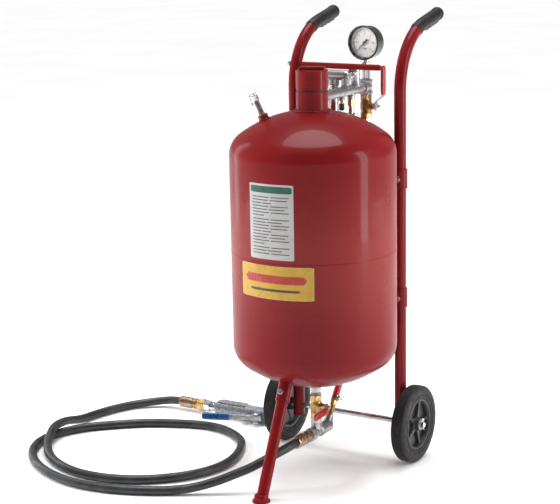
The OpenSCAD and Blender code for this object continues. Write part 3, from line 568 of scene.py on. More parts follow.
class Piece:
    """Gathers closed shells into one mesh that rides on a body and stands for CAD nodes."""

    started = []  # every piece, in the order in which they are made at the end

    def __init__(self, name, finish, *nodes, body="root", place=HERE, sharp=40):
        self.name, self.body, self.nodes, self.place, self.sharp = name, body, nodes, place, sharp
        self.finishes, self.bm = [finish], bmesh.new()
        Piece.started.append(self)

    def add(self, shell, place=HERE, finish=None):
        finish = finish or self.finishes[0]
        if finish not in self.finishes:
            self.finishes.append(finish)
        index, where = self.finishes.index(finish), self.place @ place
        made = [self.bm.verts.new(where @ Vector(v)) for v in shell[0]]
        for loop in shell[1]:
            face = self.bm.faces.new([made[i] for i in loop])
            face.material_index, face.smooth = index, True
        return self

    def make(self):
        bmesh.ops.recalc_face_normals(self.bm, faces=self.bm.faces)
        self.bm.transform(TO_ROW)
        data = bpy.data.meshes.new(self.name)
        self.bm.to_mesh(data)
        self.bm.free()
        data.set_sharp_from_angle(angle=math.radians(self.sharp))
        for finish in self.finishes:
            data.materials.append(FINISHES[finish])
        obj = bpy.data.objects.new(self.name, data)
        bpy.context.scene.collection.objects.link(obj)
        normals = obj.modifiers.new("normals", "WEIGHTED_NORMAL")
        normals.keep_sharp = True
        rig.ride(obj, self.body)
        if self.nodes:
            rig.replaces(obj, *self.nodes)
        if self.finishes[0] in RECORD_SLOTS:
            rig.slot(obj, self.finishes[0])
        return obj


RECORD_SLOTS = {m["slot"] for m in frame["record"]["materials"]}

# ---- driving sizes, in millimetres ----

TANK_R, WALL, STRAIGHT_LOW, STRAIGHT_HIGH, SEAM_Z = 165, 3, 270, 652, 465
CROWN_R, KNUCKLE_R = 245, 48.5
NECK_R, NECK_BORE, NECK_TOP, CAP_LOW, CAP_H = 31.6, 25, 776, 779, 38
TUBE_X, TUBE_Y, TUBE_R, TUBE_LOW, BEND_Z, BEND_R, BEND_TURN = 122, 137.5, 12, 60, 763, 132, 77
TIP_REACH, GRIP_R, GRIP_TURN = 313, 14, 15
BRACKET_Z, BRACKET_H, BRACKET_R = (345, 590), 40, 14.5
FOOT_Y, LEG_TOP_Y, LEG_TOP_Z, LEG_R, FOOT_R = -216, -116, 213, 11.5, 18
WHEEL_R, TYRE_W, WHEEL_X, RIM_R, RIM_W, AXLE_R, AXLE_END = 80, 31, 152, 52, 24, 6, 177
HUB_IN, HUB_OUT, HUB_R = 136, 168, 15
BAR_Z, BAR_R, STACK_Y, GAUGE_Z, GAUGE_R = 760, 10.5, 222, 851, 35.5
TRAP_X, TRAP_Y, TRAP_Z, DRAIN_Y, SAFETY_Y, SAFETY_Z, BARB_Y = -28, 135, 792, 118, 177, 796, 157
INLET_Z, INLET_L, OUTLET_Z, OUTLET_L, TEE_Z = 720, 50, 134, 47, 79
HOSE_R, AIR_HOSE_R = 9, 7.5
RELIEF_TURN, RELIEF_LEAN, BOSS_H = 211.5, 22.5, 11

CROWN_DROP = math.sqrt((CROWN_R - KNUCKLE_R) ** 2 - (TANK_R - KNUCKLE_R) ** 2)
KNUCKLE_TURN = math.atan2(CROWN_DROP, TANK_R - KNUCKLE_R)

# ---- hoses: the routes repeat the part's own ----

HOSE_ROUTE = [
    (0, -85, 79), (0, -97, 79), (-2.4, -117, 77.3), (-10.6, -139.4, 72), (-24.8, -161.2, 63),
    (-44.2, -181.3, 51), (-69.4, -201, 39), (-102, -224, 25), (-142, -250, 13.5),
    (-186, -276, 9), (-238, -302, 9), (-304, -322, 9), (-376, -326, 9), (-446, -308, 9),
    (-510, -274, 9), (-562, -226, 9), (-594, -168, 9), (-598, -104, 9), (-574, -44, 9),
    (-526, 8, 9), (-468, 54, 9), (-404, 84, 9), (-336, 102, 9), (-270, 88, 9), (-212, 44, 9),
    (-178, -24, 9), (-166, -90, 9), (-180, -154, 9), (-216, -208, 9), (-268, -250, 9),
    (-332, -274, 9), (-400, -276, 9), (-464, -256, 9), (-520, -220, 10), (-564, -172, 16),
    (-592, -116, 28), (-606, -58, 24), (-611, 2, 11), (-605, 60, 9), (-590, 112, 9),
    (-571, 150.5, 9.5), (-542.5, 179, 12), (-510, 195.5, 16), (-492, 199.3, 17.6),
    (-475, 200, 18),
]
AIR_ROUTE = [
    (0, 157, 712), (0, 157, 703), (0, 163, 688), (0, 172, 668), (0, 177, 640),
    (0, 178, 600), (0, 178, 540), (0, 178, 480), (0, 178, 420), (0, 178, 360),
    (0, 178, 310), (0, 178, 280), (0, 174, 252), (0, 162, 226), (0, 144, 202),
    (0, 123, 180), (0, 103, 160), (0, 87, 141), (0, 75, 124),
]


def run(points):
    return sum((Vector(b) - Vector(a)).length for a, b in zip(points, points[1:])) / 1000


def in_row(points):
    return [tuple(TO_ROW @ Vector(p)) for p in points]


hose_line = between(HOSE_ROUTE)
Piece("blast_hose_rubber", "hose_rubber", "blast_hose").add(swept(hose_line, HOSE_R, 28))
air_line = between(AIR_ROUTE)
Piece("air_hose_rubber", "red_hose", "air_hose").add(swept(air_line, AIR_HOSE_R, 28, hint=(1, 0, 0)))

# ---- tank ----


def dome(inset, r_in, steps=16):
    """(radius, rise) points of a dome, from the straight wall to radius r_in."""
    points = []
    for k in range(steps + 1):
        a = KNUCKLE_TURN * k / steps
        points.append((TANK_R - KNUCKLE_R + (KNUCKLE_R - inset) * math.cos(a),
            (KNUCKLE_R - inset) * math.sin(a)))
    last = math.acos(r_in / (CROWN_R - inset))
    for k in range(1, steps + 1):
        a = KNUCKLE_TURN + (last - KNUCKLE_TURN) * k / steps
        points.append(((CROWN_R - inset) * math.cos(a), (CROWN_R - inset) * math.sin(a) - CROWN_DROP))
    return points


def shell(straight_end, way, r_in):
    outer = [(r, straight_end + way * z) for r, z in dome(0, r_in)]
    inner = [(r, straight_end + way * z) for r, z in dome(WALL, r_in)][::-1]
    return turned([(TANK_R - WALL, SEAM_Z), (TANK_R, SEAM_Z), *outer, *inner], 0, 192, closed=True)


def rise(radius):
    """Height of the upper dome's outside at this radius."""
    return STRAIGHT_HIGH - CROWN_DROP + math.sqrt(CROWN_R ** 2 - radius ** 2)


relief = turn(RELIEF_TURN, "Z") @ at(z=STRAIGHT_HIGH - CROWN_DROP) @ turn(RELIEF_LEAN, "Y") @ at(z=CROWN_R)
upper = Piece("tank_top_half", "red_paint", "tank_upper_shell")
upper.add(shell(STRAIGHT_HIGH, 1, NECK_R))
upper.add(hexagon(17.6, BOSS_H + 0.5, bore=5), relief @ at(z=-0.5))
upper.add(weld_ring(9.8, 0.6, 1.9, 90), relief)

lower = Piece("tank_bottom_half", "red_paint", "tank_lower_shell")
lower.add(shell(STRAIGHT_LOW, -1, 10.5))
lower.add(swept(circle(TANK_R - 1.9, SEAM_Z - 2.5, 720), rippled(2.3, 260, 0.04), 10, closed=True))
lower.add(weld_ring(12, STRAIGHT_LOW + CROWN_DROP - CROWN_R + 0.2, 2.4, 90))

neck = Piece("filler_neck_tube", "red_paint", "filler_neck")
neck.add(pipe(NECK_R, NECK_BORE, 721, NECK_TOP, 1.7, 128))
neck.add(weld_ring(NECK_R + 0.8, rise(NECK_R) + 0.6, 3.4))

gasket = Piece("cap_gasket_ring", "black_rubber", "filler_cap_gasket", body="cap_carrier")
gasket.add(pipe(NECK_R - 1.1, NECK_BORE + 0.2, NECK_TOP - 0.4, CAP_LOW + 0.4, 1.0, 128))

cap = Piece("filler_cap_screwed", "red_paint", "filler_cap", body="cap", place=at(z=CAP_LOW))
cap.add(solid([(NECK_R, CAP_H), (NECK_R, 0), (NECK_BORE - 0.3, 0),
    *[(r, -z) for r, z in thread(NECK_BORE - 0.3, 1, 10, 2.0, 0.8)], (NECK_BORE - 1.3, -11), (18.6, -11),
    (18.6, 27)], 1.4, 128))
cap.add(block(50, 14, 7, 1.6, 3), turn(25, "Z") @ at(z=CAP_H - 1))

# ---- labels: thin sheets that lie on the tank ----


def sheet(piece, middle, half, low, high, lift, finish, thick=0.16, corner=0):
    """A curved sheet, from middle - half to middle + half degrees toward +X from the front."""
    count = max(2, int(half / 1.2))
    sections = []
    for k in range(count + 1):
        a = -half + 2 * half * k / count
        inset = 0.0
        if corner:
            # the corner's arc, worked out along the sheet's length
            gap = (half - abs(a)) * math.pi / 180 * TANK_R
            inset = corner - math.sqrt(max(0, corner ** 2 - max(0, corner - gap) ** 2))
        t = math.radians(middle + a)
        out = Vector((math.sin(t), -math.cos(t), 0))
        r0, r1 = TANK_R + lift, TANK_R + lift + thick
        sections.append([out * r0 + Vector((0, 0, low + inset)), out * r1 + Vector((0, 0, low + inset)),
            out * r1 + Vector((0, 0, high - inset)), out * r0 + Vector((0, 0, high - inset))])
    piece.add(lofted(sections), finish=finish)


PLATE_TOP, PLATE_LOW, PLATE_HALF = 616, 470.5, 17
plate = Piece("white_notice_plate", "plate_white")
sheet(plate, 0, PLATE_HALF, PLATE_LOW, PLATE_TOP, 0.02, "plate_white", 0.3, 0.8)
sheet(plate, 0, PLATE_HALF - 1.1, PLATE_TOP - 17, PLATE_TOP - 4, 0.33, "plate_green", 0.1, 1)
line_z, paragraph = PLATE_TOP - 24, (1.0, 0.96, 0.55, 0.98, 0.9, 1.0, 0.35, 1.0, 0.82)
for k in range(19):
    share = paragraph[k % len(paragraph)]
    length = (PLATE_HALF - 2.6) * share
    for first in (0.0, 0.52):
        piece_half = length * (0.24 if first else 0.25)
        sheet(plate, -(PLATE_HALF - 2.6) + 2 * length * first + piece_half * 2 * 0.96, piece_half * 1.9,
            line_z - 2.0, line_z, 0.33, "plate_print", 0.06)
    line_z -= 5.9 if share > 0.5 else 7.4

badge = Piece("yellow_plate", "plate_yellow")
sheet(badge, 1.5, 28.5, 393, 458, 0.02, "plate_edge", 0.3, 1.2)
sheet(badge, 1.5, 28.1, 394, 457, 0.30, "plate_yellow", 0.12, 1)
sheet(badge, 1.5, 24, 424, 440, 0.43, "plate_red", 0.08, 8)
sheet(badge, 1.5, 20, 408, 413, 0.43, "plate_black", 0.08, 2.5)

# ---- stand ----

LEG_LEAN = math.degrees(math.atan2(LEG_TOP_Y - FOOT_Y, LEG_TOP_Z))
LEG_L = math.hypot(LEG_TOP_Y - FOOT_Y, LEG_TOP_Z)
up_leg = at(y=FOOT_Y) @ turn(-LEG_LEAN, "X")

socket = Piece("leg_socket_tube", "red_paint", "leg_socket", place=up_leg)
socket.add(pipe(14, LEG_R + 0.1, LEG_L - 38, LEG_L + 8, 1.0))

leg = Piece("front_leg_tube", "red_paint", "front_leg")
leg.add(round_bar(LEG_R, 6, LEG_L - 6, 1.2), up_leg)
leg.add(solid([(FOOT_R - 1, 0), (FOOT_R, 1), (FOOT_R - 0.2, 3), (FOOT_R - 3.5, 6.5), (LEG_R + 2.2, 11),
    (LEG_R + 0.4, 15)], 1.2), at(y=FOOT_Y))


def on_bend(angle):
    """(y, z) on the handle's bend, this many radians past its start."""
    return TUBE_Y + BEND_R * (1 - math.cos(angle)), BEND_Z + BEND_R * math.sin(angle)


BEND_END = on_bend(math.radians(BEND_TURN))
GRIP_SLOPE = math.radians(90 - BEND_TURN)
GRIP_L = (TIP_REACH - BEND_END[0] - (GRIP_R - 4) * math.sin(GRIP_SLOPE)) / math.cos(GRIP_SLOPE)


def handle_line(side):
    points = [(TUBE_X, TUBE_Y, TUBE_LOW + (BEND_Z - TUBE_LOW) * k / 12) for k in range(13)]
    points += [(TUBE_X, *on_bend(math.radians(BEND_TURN * k / 24))) for k in range(1, 25)]
    for k in range(1, 4):
        s = (GRIP_L - 8) * k / 3
        points.append((TUBE_X, BEND_END[0] + s * math.cos(GRIP_SLOPE),
            BEND_END[1] + s * math.sin(GRIP_SLOPE)))
    return [(side * x, y, z) for x, y, z in points]


def grip_shape(side):
    """A soft sleeve that follows the tube's bend, with four finger knobs below and a rounded end."""
    sections, slices, sides = [], 132, 48
    bent = BEND_R * math.radians(GRIP_TURN)
    length = bent + GRIP_L
    for i in range(slices + 1):
        s = length * i / slices
        a = math.radians(BEND_TURN - GRIP_TURN * max(0, 1 - s / bent))
        on = max(0, s - bent)
        y, z = on_bend(a)
        middle = Vector((side * TUBE_X, y + on * math.sin(a), z + on * math.cos(a)))
        down = Vector((0, math.cos(a), -math.sin(a)))
        end = max(0, 1 - (length - s) / 5)
        start = max(0, 1 - s / 1.2)
        base = GRIP_R - 1.05 + (0.5 if 3 < s < 5.2 or 7 < s < 8.6 else 0) + (0.95 if on > GRIP_L - 11 else 0)
        base += 0.16 * math.sin(s * 2 * math.pi / 2.4) * (on > 2) * (on < GRIP_L - 14)
        pitch = (GRIP_L - 16) / 4
        knob = max(0, math.sin(math.pi * ((on - 3) / pitch % 1))) ** 0.5 * (3 < on < GRIP_L - 13)
        r = base - 4.2 * (1 - math.sqrt(max(0, 1 - end ** 2))) - 0.9 * start
        ring_points = []
        for k in range(sides):
            t = 2 * math.pi * k / sides
            out = r + 4.6 * knob * max(0, math.cos(t)) ** 7
            ring_points.append(middle + down * out * math.cos(t) + Vector((out * math.sin(t), 0, 0)))
        sections.append(ring_points)
    return lofted(sections)


for side, word in ((-1, "left"), (1, "right")):
    tube = Piece(f"handle_tube_{word}_bent", "red_paint", f"handle_tube_{word}")
    tube.add(swept(handle_line(side), TUBE_R, 40, hint=(1, 0, 0)))
    tube.add(pipe(TUBE_R, TUBE_R - 2, TUBE_LOW - 0.2, TUBE_LOW + 6, 0.5), at(side * TUBE_X, TUBE_Y))
    grip = Piece(f"grip_{word}_moulded", "black_rubber", f"grip_{word}", sharp=70)
    grip.add(grip_shape(side))

brackets = Piece("bracket_sleeves", "red_paint", "tank_brackets")
bracket_turn = math.degrees(math.atan2(TUBE_Y, TUBE_X))
reach = math.hypot(TUBE_X, TUBE_Y)
for side in (-1, 1):
    for z in BRACKET_Z:
        brackets.add(pipe(BRACKET_R, TUBE_R - 0.3, z - BRACKET_H / 2, z + BRACKET_H / 2, 1.0),
            mirrored(side) @ at(TUBE_X, TUBE_Y))
        web = extruded([(TANK_R - 1, -3), (reach - 10, -3), (reach - 10, 3), (TANK_R - 1, 3)], BRACKET_H,
            1.0)
        brackets.add(web, mirrored(side) @ turn(bracket_turn, "Z") @ at(z=z - BRACKET_H / 2))
        for edge in (-4, 4):
            bead = [(TANK_R + 0.6, edge, z + s * (BRACKET_H / 2 - 1.5) / 12) for s in range(-12, 13)]
            brackets.add(swept(bead, rippled(1.9, 9), 10, hint=(1, 0, 0)),
                mirrored(side) @ turn(bracket_turn, "Z"))


def bolt(grip_l, flats):
    """Parts of a hexagon bolt along Z: head below zero, nut past the grip length."""
    return [(hexagon(flats, 4.5), at(z=-5.3)), (round_bar(flats * 0.62, -0.9, 0.1, 0.3), HERE),
        (turned([(0, 0), *thread(3, 0, grip_l + 7, 1.0, 0.35), (0, grip_l + 7)], 0.1, 32), HERE),
        (hexagon(flats, 5, bore=2.9), at(z=grip_l))]


HANGER_Z = 809
HANGER_Y = on_bend(math.asin((HANGER_Z - BEND_Z) / BEND_R))[0]
bolts = Piece("stand_bolts", "bright_steel", "frame_bolts")
for side in (-1, 1):
    for z in BRACKET_Z:
        for part, place in bolt(BRACKET_R * 2, 11):
            bolts.add(part, mirrored(side) @ at(TUBE_X, TUBE_Y - BRACKET_R, z) @ ALONG_Y @ place)
for part, place in bolt(28, 9):
    bolts.add(part, up_leg @ at(0, -14, LEG_L - 20) @ ALONG_Y @ place)
for part, place in bolt(TUBE_R * 2 + 2, 11)[:3]:
    bolts.add(part, at(-TUBE_X - TUBE_R, HANGER_Y, HANGER_Z) @ ALONG_X @ place)

hanger = Piece("hanger_rod", "red_paint", "hanger_bar",
    place=at(-TUBE_X + TUBE_R - 0.6, HANGER_Y, HANGER_Z) @ ALONG_X)
HANGER_L = 74.5 + TUBE_X - TUBE_R + 0.6
hanger.add(solid([(6, 0), (6, HANGER_L - 3), (4.6, HANGER_L)], 2.2, 48))

rod = Piece("axle_rod", "bright_steel", "axle", place=at(-AXLE_END, TUBE_Y, WHEEL_R) @ ALONG_X)
rod.add(round_bar(AXLE_R, 0, AXLE_END * 2, 1.2, 48))

# ---- wheels ----


def tyre_outline():
    """Half-round shoulders, a stepped sidewall and fine ribs around the tread."""
    half = TYRE_W / 2
    sidewall = [(RIM_R, RIM_W / 2), (RIM_R + 1.5, RIM_W / 2 + 1.6), (RIM_R + 4, half - 0.6),
        (RIM_R + 6.5, half - 0.4), (RIM_R + 7.3, half - 1.5), (RIM_R + 8.6, half - 1.5),
        (RIM_R + 9.6, half), (WHEEL_R - 11, half), (WHEEL_R - 6.5, half - 0.7),
        (WHEEL_R - 3, half - 2.4), (WHEEL_R - 1.6, half - 4)]
    ribs, low, high = [], -half + 5, half - 5
    pitch = (high - low) / 9
    for k in range(9):
        z = high - pitch * k
        crown = WHEEL_R - 0.7 * abs((z - pitch / 2) / high) ** 2
        ribs += [(crown, z), (crown, z - pitch * 0.72), (crown - 1.1, z - pitch * 0.8),
            (crown - 1.1, z - pitch * 0.92)]
    return sidewall + ribs + [(r, -z) for r, z in sidewall[::-1]]


def spoke():
    """A broad spoke with a raised, tapering ridge."""
    sections = []
    for k in range(13):
        s = k / 12
        r = HUB_R - 3 + (RIM_R - HUB_R - 1) * s
        wide = 7.6 - 2.6 * s + 2.2 * abs(2 * s - 1) ** 3
        high = 9.0 - 2.2 * s + 1.5 * s ** 6
        sections.append([(r, y, z) for y, z in soften([(-wide, -5), (wide, -5), (wide * 0.55, high),
            (-wide * 0.55, high)], 1.6, True)])
    return lofted(sections)


for side, word in ((-1, "left"), (1, "right")):
    body = f"wheel_{word}"
    place = at(side * WHEEL_X, TUBE_Y, WHEEL_R) @ turn(side * 90, "Y")
    tyre = Piece(f"tyre_{word}_ribbed", "tyre_rubber", f"tyre_{word}", body=body, place=place, sharp=32)
    tyre.add(turned(tyre_outline(), 0.35, 144, closed=True))
    hub = Piece(f"wheel_hub_{word}_spoked", "hub_plastic", f"wheel_hub_{word}", body=body, place=place)
    hub.add(turned([(RIM_R + 0.2, -RIM_W / 2), (RIM_R + 0.2, RIM_W / 2 + 1.2),
        (RIM_R - 3, RIM_W / 2 + 1.2), (RIM_R - 5.5, RIM_W / 2 - 3), (RIM_R - 7.5, 0), (RIM_R - 7.5, -3),
        (RIM_R - 5, -RIM_W / 2)], 1.2, 128, closed=True))
    hub.add(turned([(HUB_R + 1, -3), (RIM_R - 6, -3), (RIM_R - 6, 1.5), (HUB_R + 1, 1.5)], 0.5, 96,
        closed=True))
    hub.add(turned([(AXLE_R + 0.3, HUB_IN - WHEEL_X), (HUB_R - 1.5, HUB_IN - WHEEL_X), (HUB_R, 0),
        (HUB_R + 0.8, 6), (HUB_R - 1.2, 10), (HUB_R - 2.5, HUB_OUT - WHEEL_X),
        (AXLE_R + 0.3, HUB_OUT - WHEEL_X)], 1.0, 96, closed=True))
    for k in range(5):
        hub.add(spoke(), turn(72 * k + 18, "Z"))

washers = Piece("wheel_washers", "galvanised", "axle_washers")
pins = Piece("split_pins", "bright_steel", "cotter_pins")
for side in (-1, 1):
    on_axle = mirrored(side) @ at(0, TUBE_Y, WHEEL_R)
    washers.add(pipe(11, AXLE_R + 0.05, HUB_OUT + 0.3, HUB_OUT + 1.9, 0.4, 48), on_axle @ ALONG_X)
    washers.add(pipe(10, AXLE_R + 0.05, TUBE_X + TUBE_R, TUBE_X + TUBE_R + 1.6, 0.4, 48), on_axle @ ALONG_X)
    eye = [(0, 0, 7.0)] + [(0, 3.0 * math.sin(math.radians(a)),
        10.4 - 3.0 * math.cos(math.radians(a))) for a in range(20, 345, 15)]
    wire = [(0, 0, -8)] + [(0, 0, z) for z in (-4, 0, 4)] + eye
    pins.add(swept(between(wire), 1.15, 12, hint=(1, 0, 0)), on_axle @ at(AXLE_END - 3.5))
    legs = [(0, 0.5, 5), (0, 0.5, 0), (0, 0.5, -6), (0, 2.6, -9.5), (0, 5.2, -11.5)]
    pins.add(swept(between(legs), 0.9, 12, hint=(1, 0, 0)), on_axle @ at(AXLE_END - 3.5))

# ---- air manifold ----

bar = Piece("manifold_pipe", "galvanised", "manifold_bar")
on_bar = at(z=BAR_Z)
bar.add(turned([(0, 24), (BAR_R + 2.5, 24), (BAR_R + 2.5, 36), (BAR_R, 37.5), (BAR_R, STACK_Y - 34),
    *thread(BAR_R, STACK_Y - 33, STACK_Y - 18), (0, STACK_Y - 18)], 0.7, 80), on_bar @ ALONG_Y)
for y, r, rise_by in ((TRAP_Y, 8, 22), (SAFETY_Y, 9.5, 18), (BARB_Y, 8, -19), (DRAIN_Y, 6.5, -17)):
    upright = on_bar @ at(y=y) @ (HERE if rise_by > 0 else DOWN)
    bar.add(turned([(0, 0), (r + 2.5, 7), (r + 0.3, 12), (r, abs(rise_by)), (0, abs(rise_by))], 0.8, 48),
        upright)

elbow = Piece("manifold_corner", "galvanised", "manifold_elbow", place=at(0, STACK_Y, BAR_Z))
half_turn = (-math.pi / 2 + math.pi * k / 24 for k in range(25))
elbow.add(turned([polar(13, a)[:2] for a in half_turn], 0, 64))
for way, low in ((FORWARD, 20), (HERE, 15), (DOWN, 15)):
    elbow.add(solid([(12.4, 0), (12.4, low - 6), (14, low - 5), (14, low), (7, low), (7, low - 4)], 0.8,
        64), way)

safety = Piece("safety_valve_turned", "bright_steel", "safety_valve_body")
safety.add(solid([(9.5, 0), (9.5, 3), (8.6, 4), (8.6, 8), (9.5, 9), (9.5, 24), (7.5, 28)], 0.7, 48),
    at(0, SAFETY_Y, BAR_Z + 18))
cap_of_valve = at(0, SAFETY_Y - 7, SAFETY_Z) @ FORWARD
safety.add(solid([(8.5, -4), (8.5, 2), (7.9, 2.6), (7.9, 4), (8.5, 4.6), (8.5, 9)], 0.5, 48),
    cap_of_valve)
safety.add(hexagon(12, 5, bore=2.7), cap_of_valve @ at(z=9))


def split_ring(radius, wire):
    """A key ring: a little more than one turn of wire."""
    points = []
    for k in range(61):
        a = 2 * math.pi * 1.18 * k / 60
        points.append(polar(radius, a, wire * 0.9 * (k / 60 - 0.5) * 2))
    return swept(points, wire, 12)


pull = Piece("safety_pull_ring", "bright_steel", "safety_valve_ring", body="safety_pull",
    place=at(0, SAFETY_Y - 12, SAFETY_Z) @ FORWARD)
pull.add(solid([(2.3, 0), (2.3, 8), (1.7, 8.6), (1.7, 9.6), (2.3, 10.2), (2.3, 14)], 0.5, 32))
pull.add(split_ring(7.5, 0.72), at(0, -7.5, 11))

trap = Piece("moisture_trap_top", "galvanised", "moisture_trap_head")
trap.add(solid([(7, -46), (9.5, -44.6), (10.5, -42), (10.5, 2), (9, 6), (9, 8), (6, 10)], 1.2, 64),
    at(0, TRAP_Y, TRAP_Z) @ ALONG_X)
trap.add(solid([(12, -19), (12, -8), (10.5, -4)], 1.2, 64), at(TRAP_X, TRAP_Y, TRAP_Z))
trap.add(round_bar(9, -10.5, -2, 0.8, 48), at(0, TRAP_Y, TRAP_Z))
trap.add(hexagon(16, 5), at(0, TRAP_Y, TRAP_Z - 10.8))
BOWL_H = 66
bowl = Piece("moisture_trap_cup", "bright_steel", "moisture_trap_bowl",
    place=at(TRAP_X, TRAP_Y, TRAP_Z - 18 - BOWL_H))
bowl.add(solid([(3.5, 0), (3.5, 2), (7, 3), (9.3, 6), (10, 10), (10, BOWL_H - 6), (11, BOWL_H - 5),
    (11, BOWL_H - 0.5)], 1.0, 64))

knob = Piece("drain_knob", "hub_plastic", "drain_cock_knob", body="drain_cock",
    place=at(0, DRAIN_Y, BAR_Z - 17) @ DOWN)
knob.add(round_bar(3, 0.3, 7, 0.3, 32), finish="brass")
flutes = []
for z, r in ((6, 4.4), (6.6, 5.1), (8, 5.5), (17.5, 5.5), (19.3, 4.9), (20, 3.9)):
    level = []
    for k in range(80):
        t = 2 * math.pi * k / 80
        fluted_r = r * (1 - 0.07 * (math.cos(10 * t) > 0.55))
        level.append(polar(fluted_r, t, z))
    flutes.append(level)
knob.add(lofted(flutes))

# ---- ball valves, drawn along Z around the ball with the stem toward +X ----

LEVER_X, LEVER_T, LEVER_W = 22, 2.5, 11
VALVE_BORE, BALL_R, STEM_R = 6.6, 8.7, 3.9
SLEEVE_SIDES = 40


def vinyl_sleeve(length, slices, thick, wide, power, mouth, tip, tip_l, waist=0.0):
    """A dipped sleeve along Z from z 0: its mouth and tip are these shares of its full size."""

    def soft(value):
        return math.copysign(abs(value) ** power, value)

    sections = []
    for i in range(slices + 1):
        s = length * i / slices
        end = min(1, (length - s) / tip_l)
        grow = min(1, s / 1.4 + mouth, tip + (1 - tip) * math.sqrt(max(0, 1 - (1 - end) ** 2)))
        hollow = waist * math.exp(-((s - 4) / 3) ** 2)
        sections.append([
            ((thick - hollow) * grow * soft(math.cos(a)), (wide - hollow) * grow * soft(math.sin(a)), s)
            for a in (2 * math.pi * (k + 0.5) / SLEEVE_SIDES for k in range(SLEEVE_SIDES))
        ])
    return lofted(sections)


def ball_valve(word, finish, length, place, turned_by, out, bend_at, reach_to, sleeve_from):
    """The fixed body, and on the turning body its ball, its lever with the nut, and the sleeve."""
    fixed, half = Piece(f"{word}_valve_brass", finish, f"{word}_valve_body", place=place), length / 2
    for end in (HERE, DOWN):
        fixed.add(hexagon(23, 11, bore=VALVE_BORE), end @ at(z=half - 11))
        fixed.add(turned([
            (9.3, -0.3), (12.2, -0.3), (12.2, 4), (11.0, half - 13), (10.4, half - 11),
            (VALVE_BORE, half - 11), (VALVE_BORE, 8.3), (9.3, 7.2)], 0.6, 64, closed=True), end)
        fixed.add(pipe(11.6, VALVE_BORE, half - 12.6, half - 10.4, 0.3), end)
    fixed.add(turned([(4.2, 9.6), (9.5, 9.6), (7.3, 13), (7, 13.5), (7, 15.5), (6.2, 17), (4.2, 17)],
                     0.4, 48, closed=True), ALONG_X)
    fixed.add(hexagon(11, 4.6, bore=4.2), at(x=16.9) @ ALONG_X)

    turning = {"body": f"{word}_valve", "place": place @ turned_by}
    ball = Piece(f"{word}_valve_core", "bright_steel", f"{word}_valve_ball", **turning)
    ball.add(round_bar(STEM_R, 7.8, 24, 0.4, 32), ALONG_X)
    arc = [polar(BALL_R, 0.068 * k - 0.68)[:2] for k in range(21)]
    ball.add(turned([(5.4, arc[0][1]), *arc, (5.4, arc[-1][1])], 0.2, 64, closed=True))

    lever = Piece(f"{word}_lever_plate", "galvanised", f"{word}_valve_lever", **turning)
    side_view = soften([
        (LEVER_X, -8), (LEVER_X + LEVER_T, -8), (LEVER_X + LEVER_T, bend_at - 1.5),
        (out + LEVER_T, bend_at + 12), (out + LEVER_T, reach_to - 4), (out, reach_to - 4),
        (out, bend_at + 12.5), (LEVER_X, bend_at - 0.5)], 3.0, True)
    lever.add(extruded(side_view, LEVER_W, 0.5), at(y=LEVER_W / 2) @ FORWARD)
    lever.add(round_bar(8, 0, LEVER_T, 0.5, 48), at(x=LEVER_X) @ ALONG_X)
    on_plate = at(x=LEVER_X + LEVER_T) @ ALONG_X
    lever.add(round_bar(6.8, 0, 0.9, 0.3, 48), on_plate, "bright_steel")
    lever.add(hexagon(10, 4), on_plate @ at(z=0.9), "bright_steel")
    lever.add(turned([(0, 4.5), *thread(3.1, 4.6, 8, 0.9, 0.3), (0, 8)], 0.1, 32), on_plate, "bright_steel")

    sleeve = Piece(f"{word}_lever_grip", "red_vinyl", f"{word}_lever_sleeve", sharp=70, **turning)
    sleeve.add(vinyl_sleeve(reach_to - sleeve_from, 36, 3.7, LEVER_W / 2 + 1.5, 0.55, 0.55, 0.42, 5.5, 0.35),
               at(out + LEVER_T / 2, 0, sleeve_from))


ball_valve("inlet", "brown_brass", INLET_L, at(0, STACK_Y, INLET_Z), HERE, 39, 10, 85, 24)
ABRASIVE_CLOSED = turn(90 + 3, "X")
ball_valve("abrasive", "brass", OUTLET_L, at(z=OUTLET_Z), ABRASIVE_CLOSED, 34, 2, 66, 15)

plug = Piece("air_plug_steel", "bright_steel", "air_plug",
    place=at(0, STACK_Y, INLET_Z - INLET_L / 2) @ DOWN)
plug.add(hexagon(17, 8))
plug.add(solid([(6, -4), (6, 14), (5.9, 14.5), (5.9, 19.5), (7.4, 20.3), (7.4, 23.7), (5.9, 24.5),
    (5.9, 30), (5.2, 36), (3, 36), (3, 10)], 0.5, 48))

# ---- gauge ----

riser = Piece("gauge_stem", "bright_steel", "gauge_riser", place=at(0, STACK_Y))
RISER_TOP = GAUGE_Z - GAUGE_R - 14
riser.add(turned([(0, BAR_Z + 13), *thread(9.1, BAR_Z + 13, BAR_Z + 18), (9.5, BAR_Z + 18.5),
    (9.5, RISER_TOP), (0, RISER_TOP)], 0.5, 64))
riser.add(hexagon(17, 9), at(z=RISER_TOP - 0.5), "tan_brass")
riser.add(round_bar(5.5, RISER_TOP + 8, RISER_TOP + 20, 0.5, 40), finish="tan_brass")

DIAL_Y = STACK_Y - 13
gauge = at(0, DIAL_Y, GAUGE_Z) @ ALONG_Y
case = Piece("gauge_housing", "case_plastic", "gauge_case", place=gauge)
case.add(solid([(GAUGE_R - 5, 32), (GAUGE_R - 2.2, 29), (GAUGE_R - 1.6, 7), (GAUGE_R, 5.4),
    (GAUGE_R, 1.2), (GAUGE_R - 1.4, 0), (GAUGE_R - 3.2, 0.2), (GAUGE_R - 4, 1.6), (GAUGE_R - 4, 10)],
    0.8, 144))

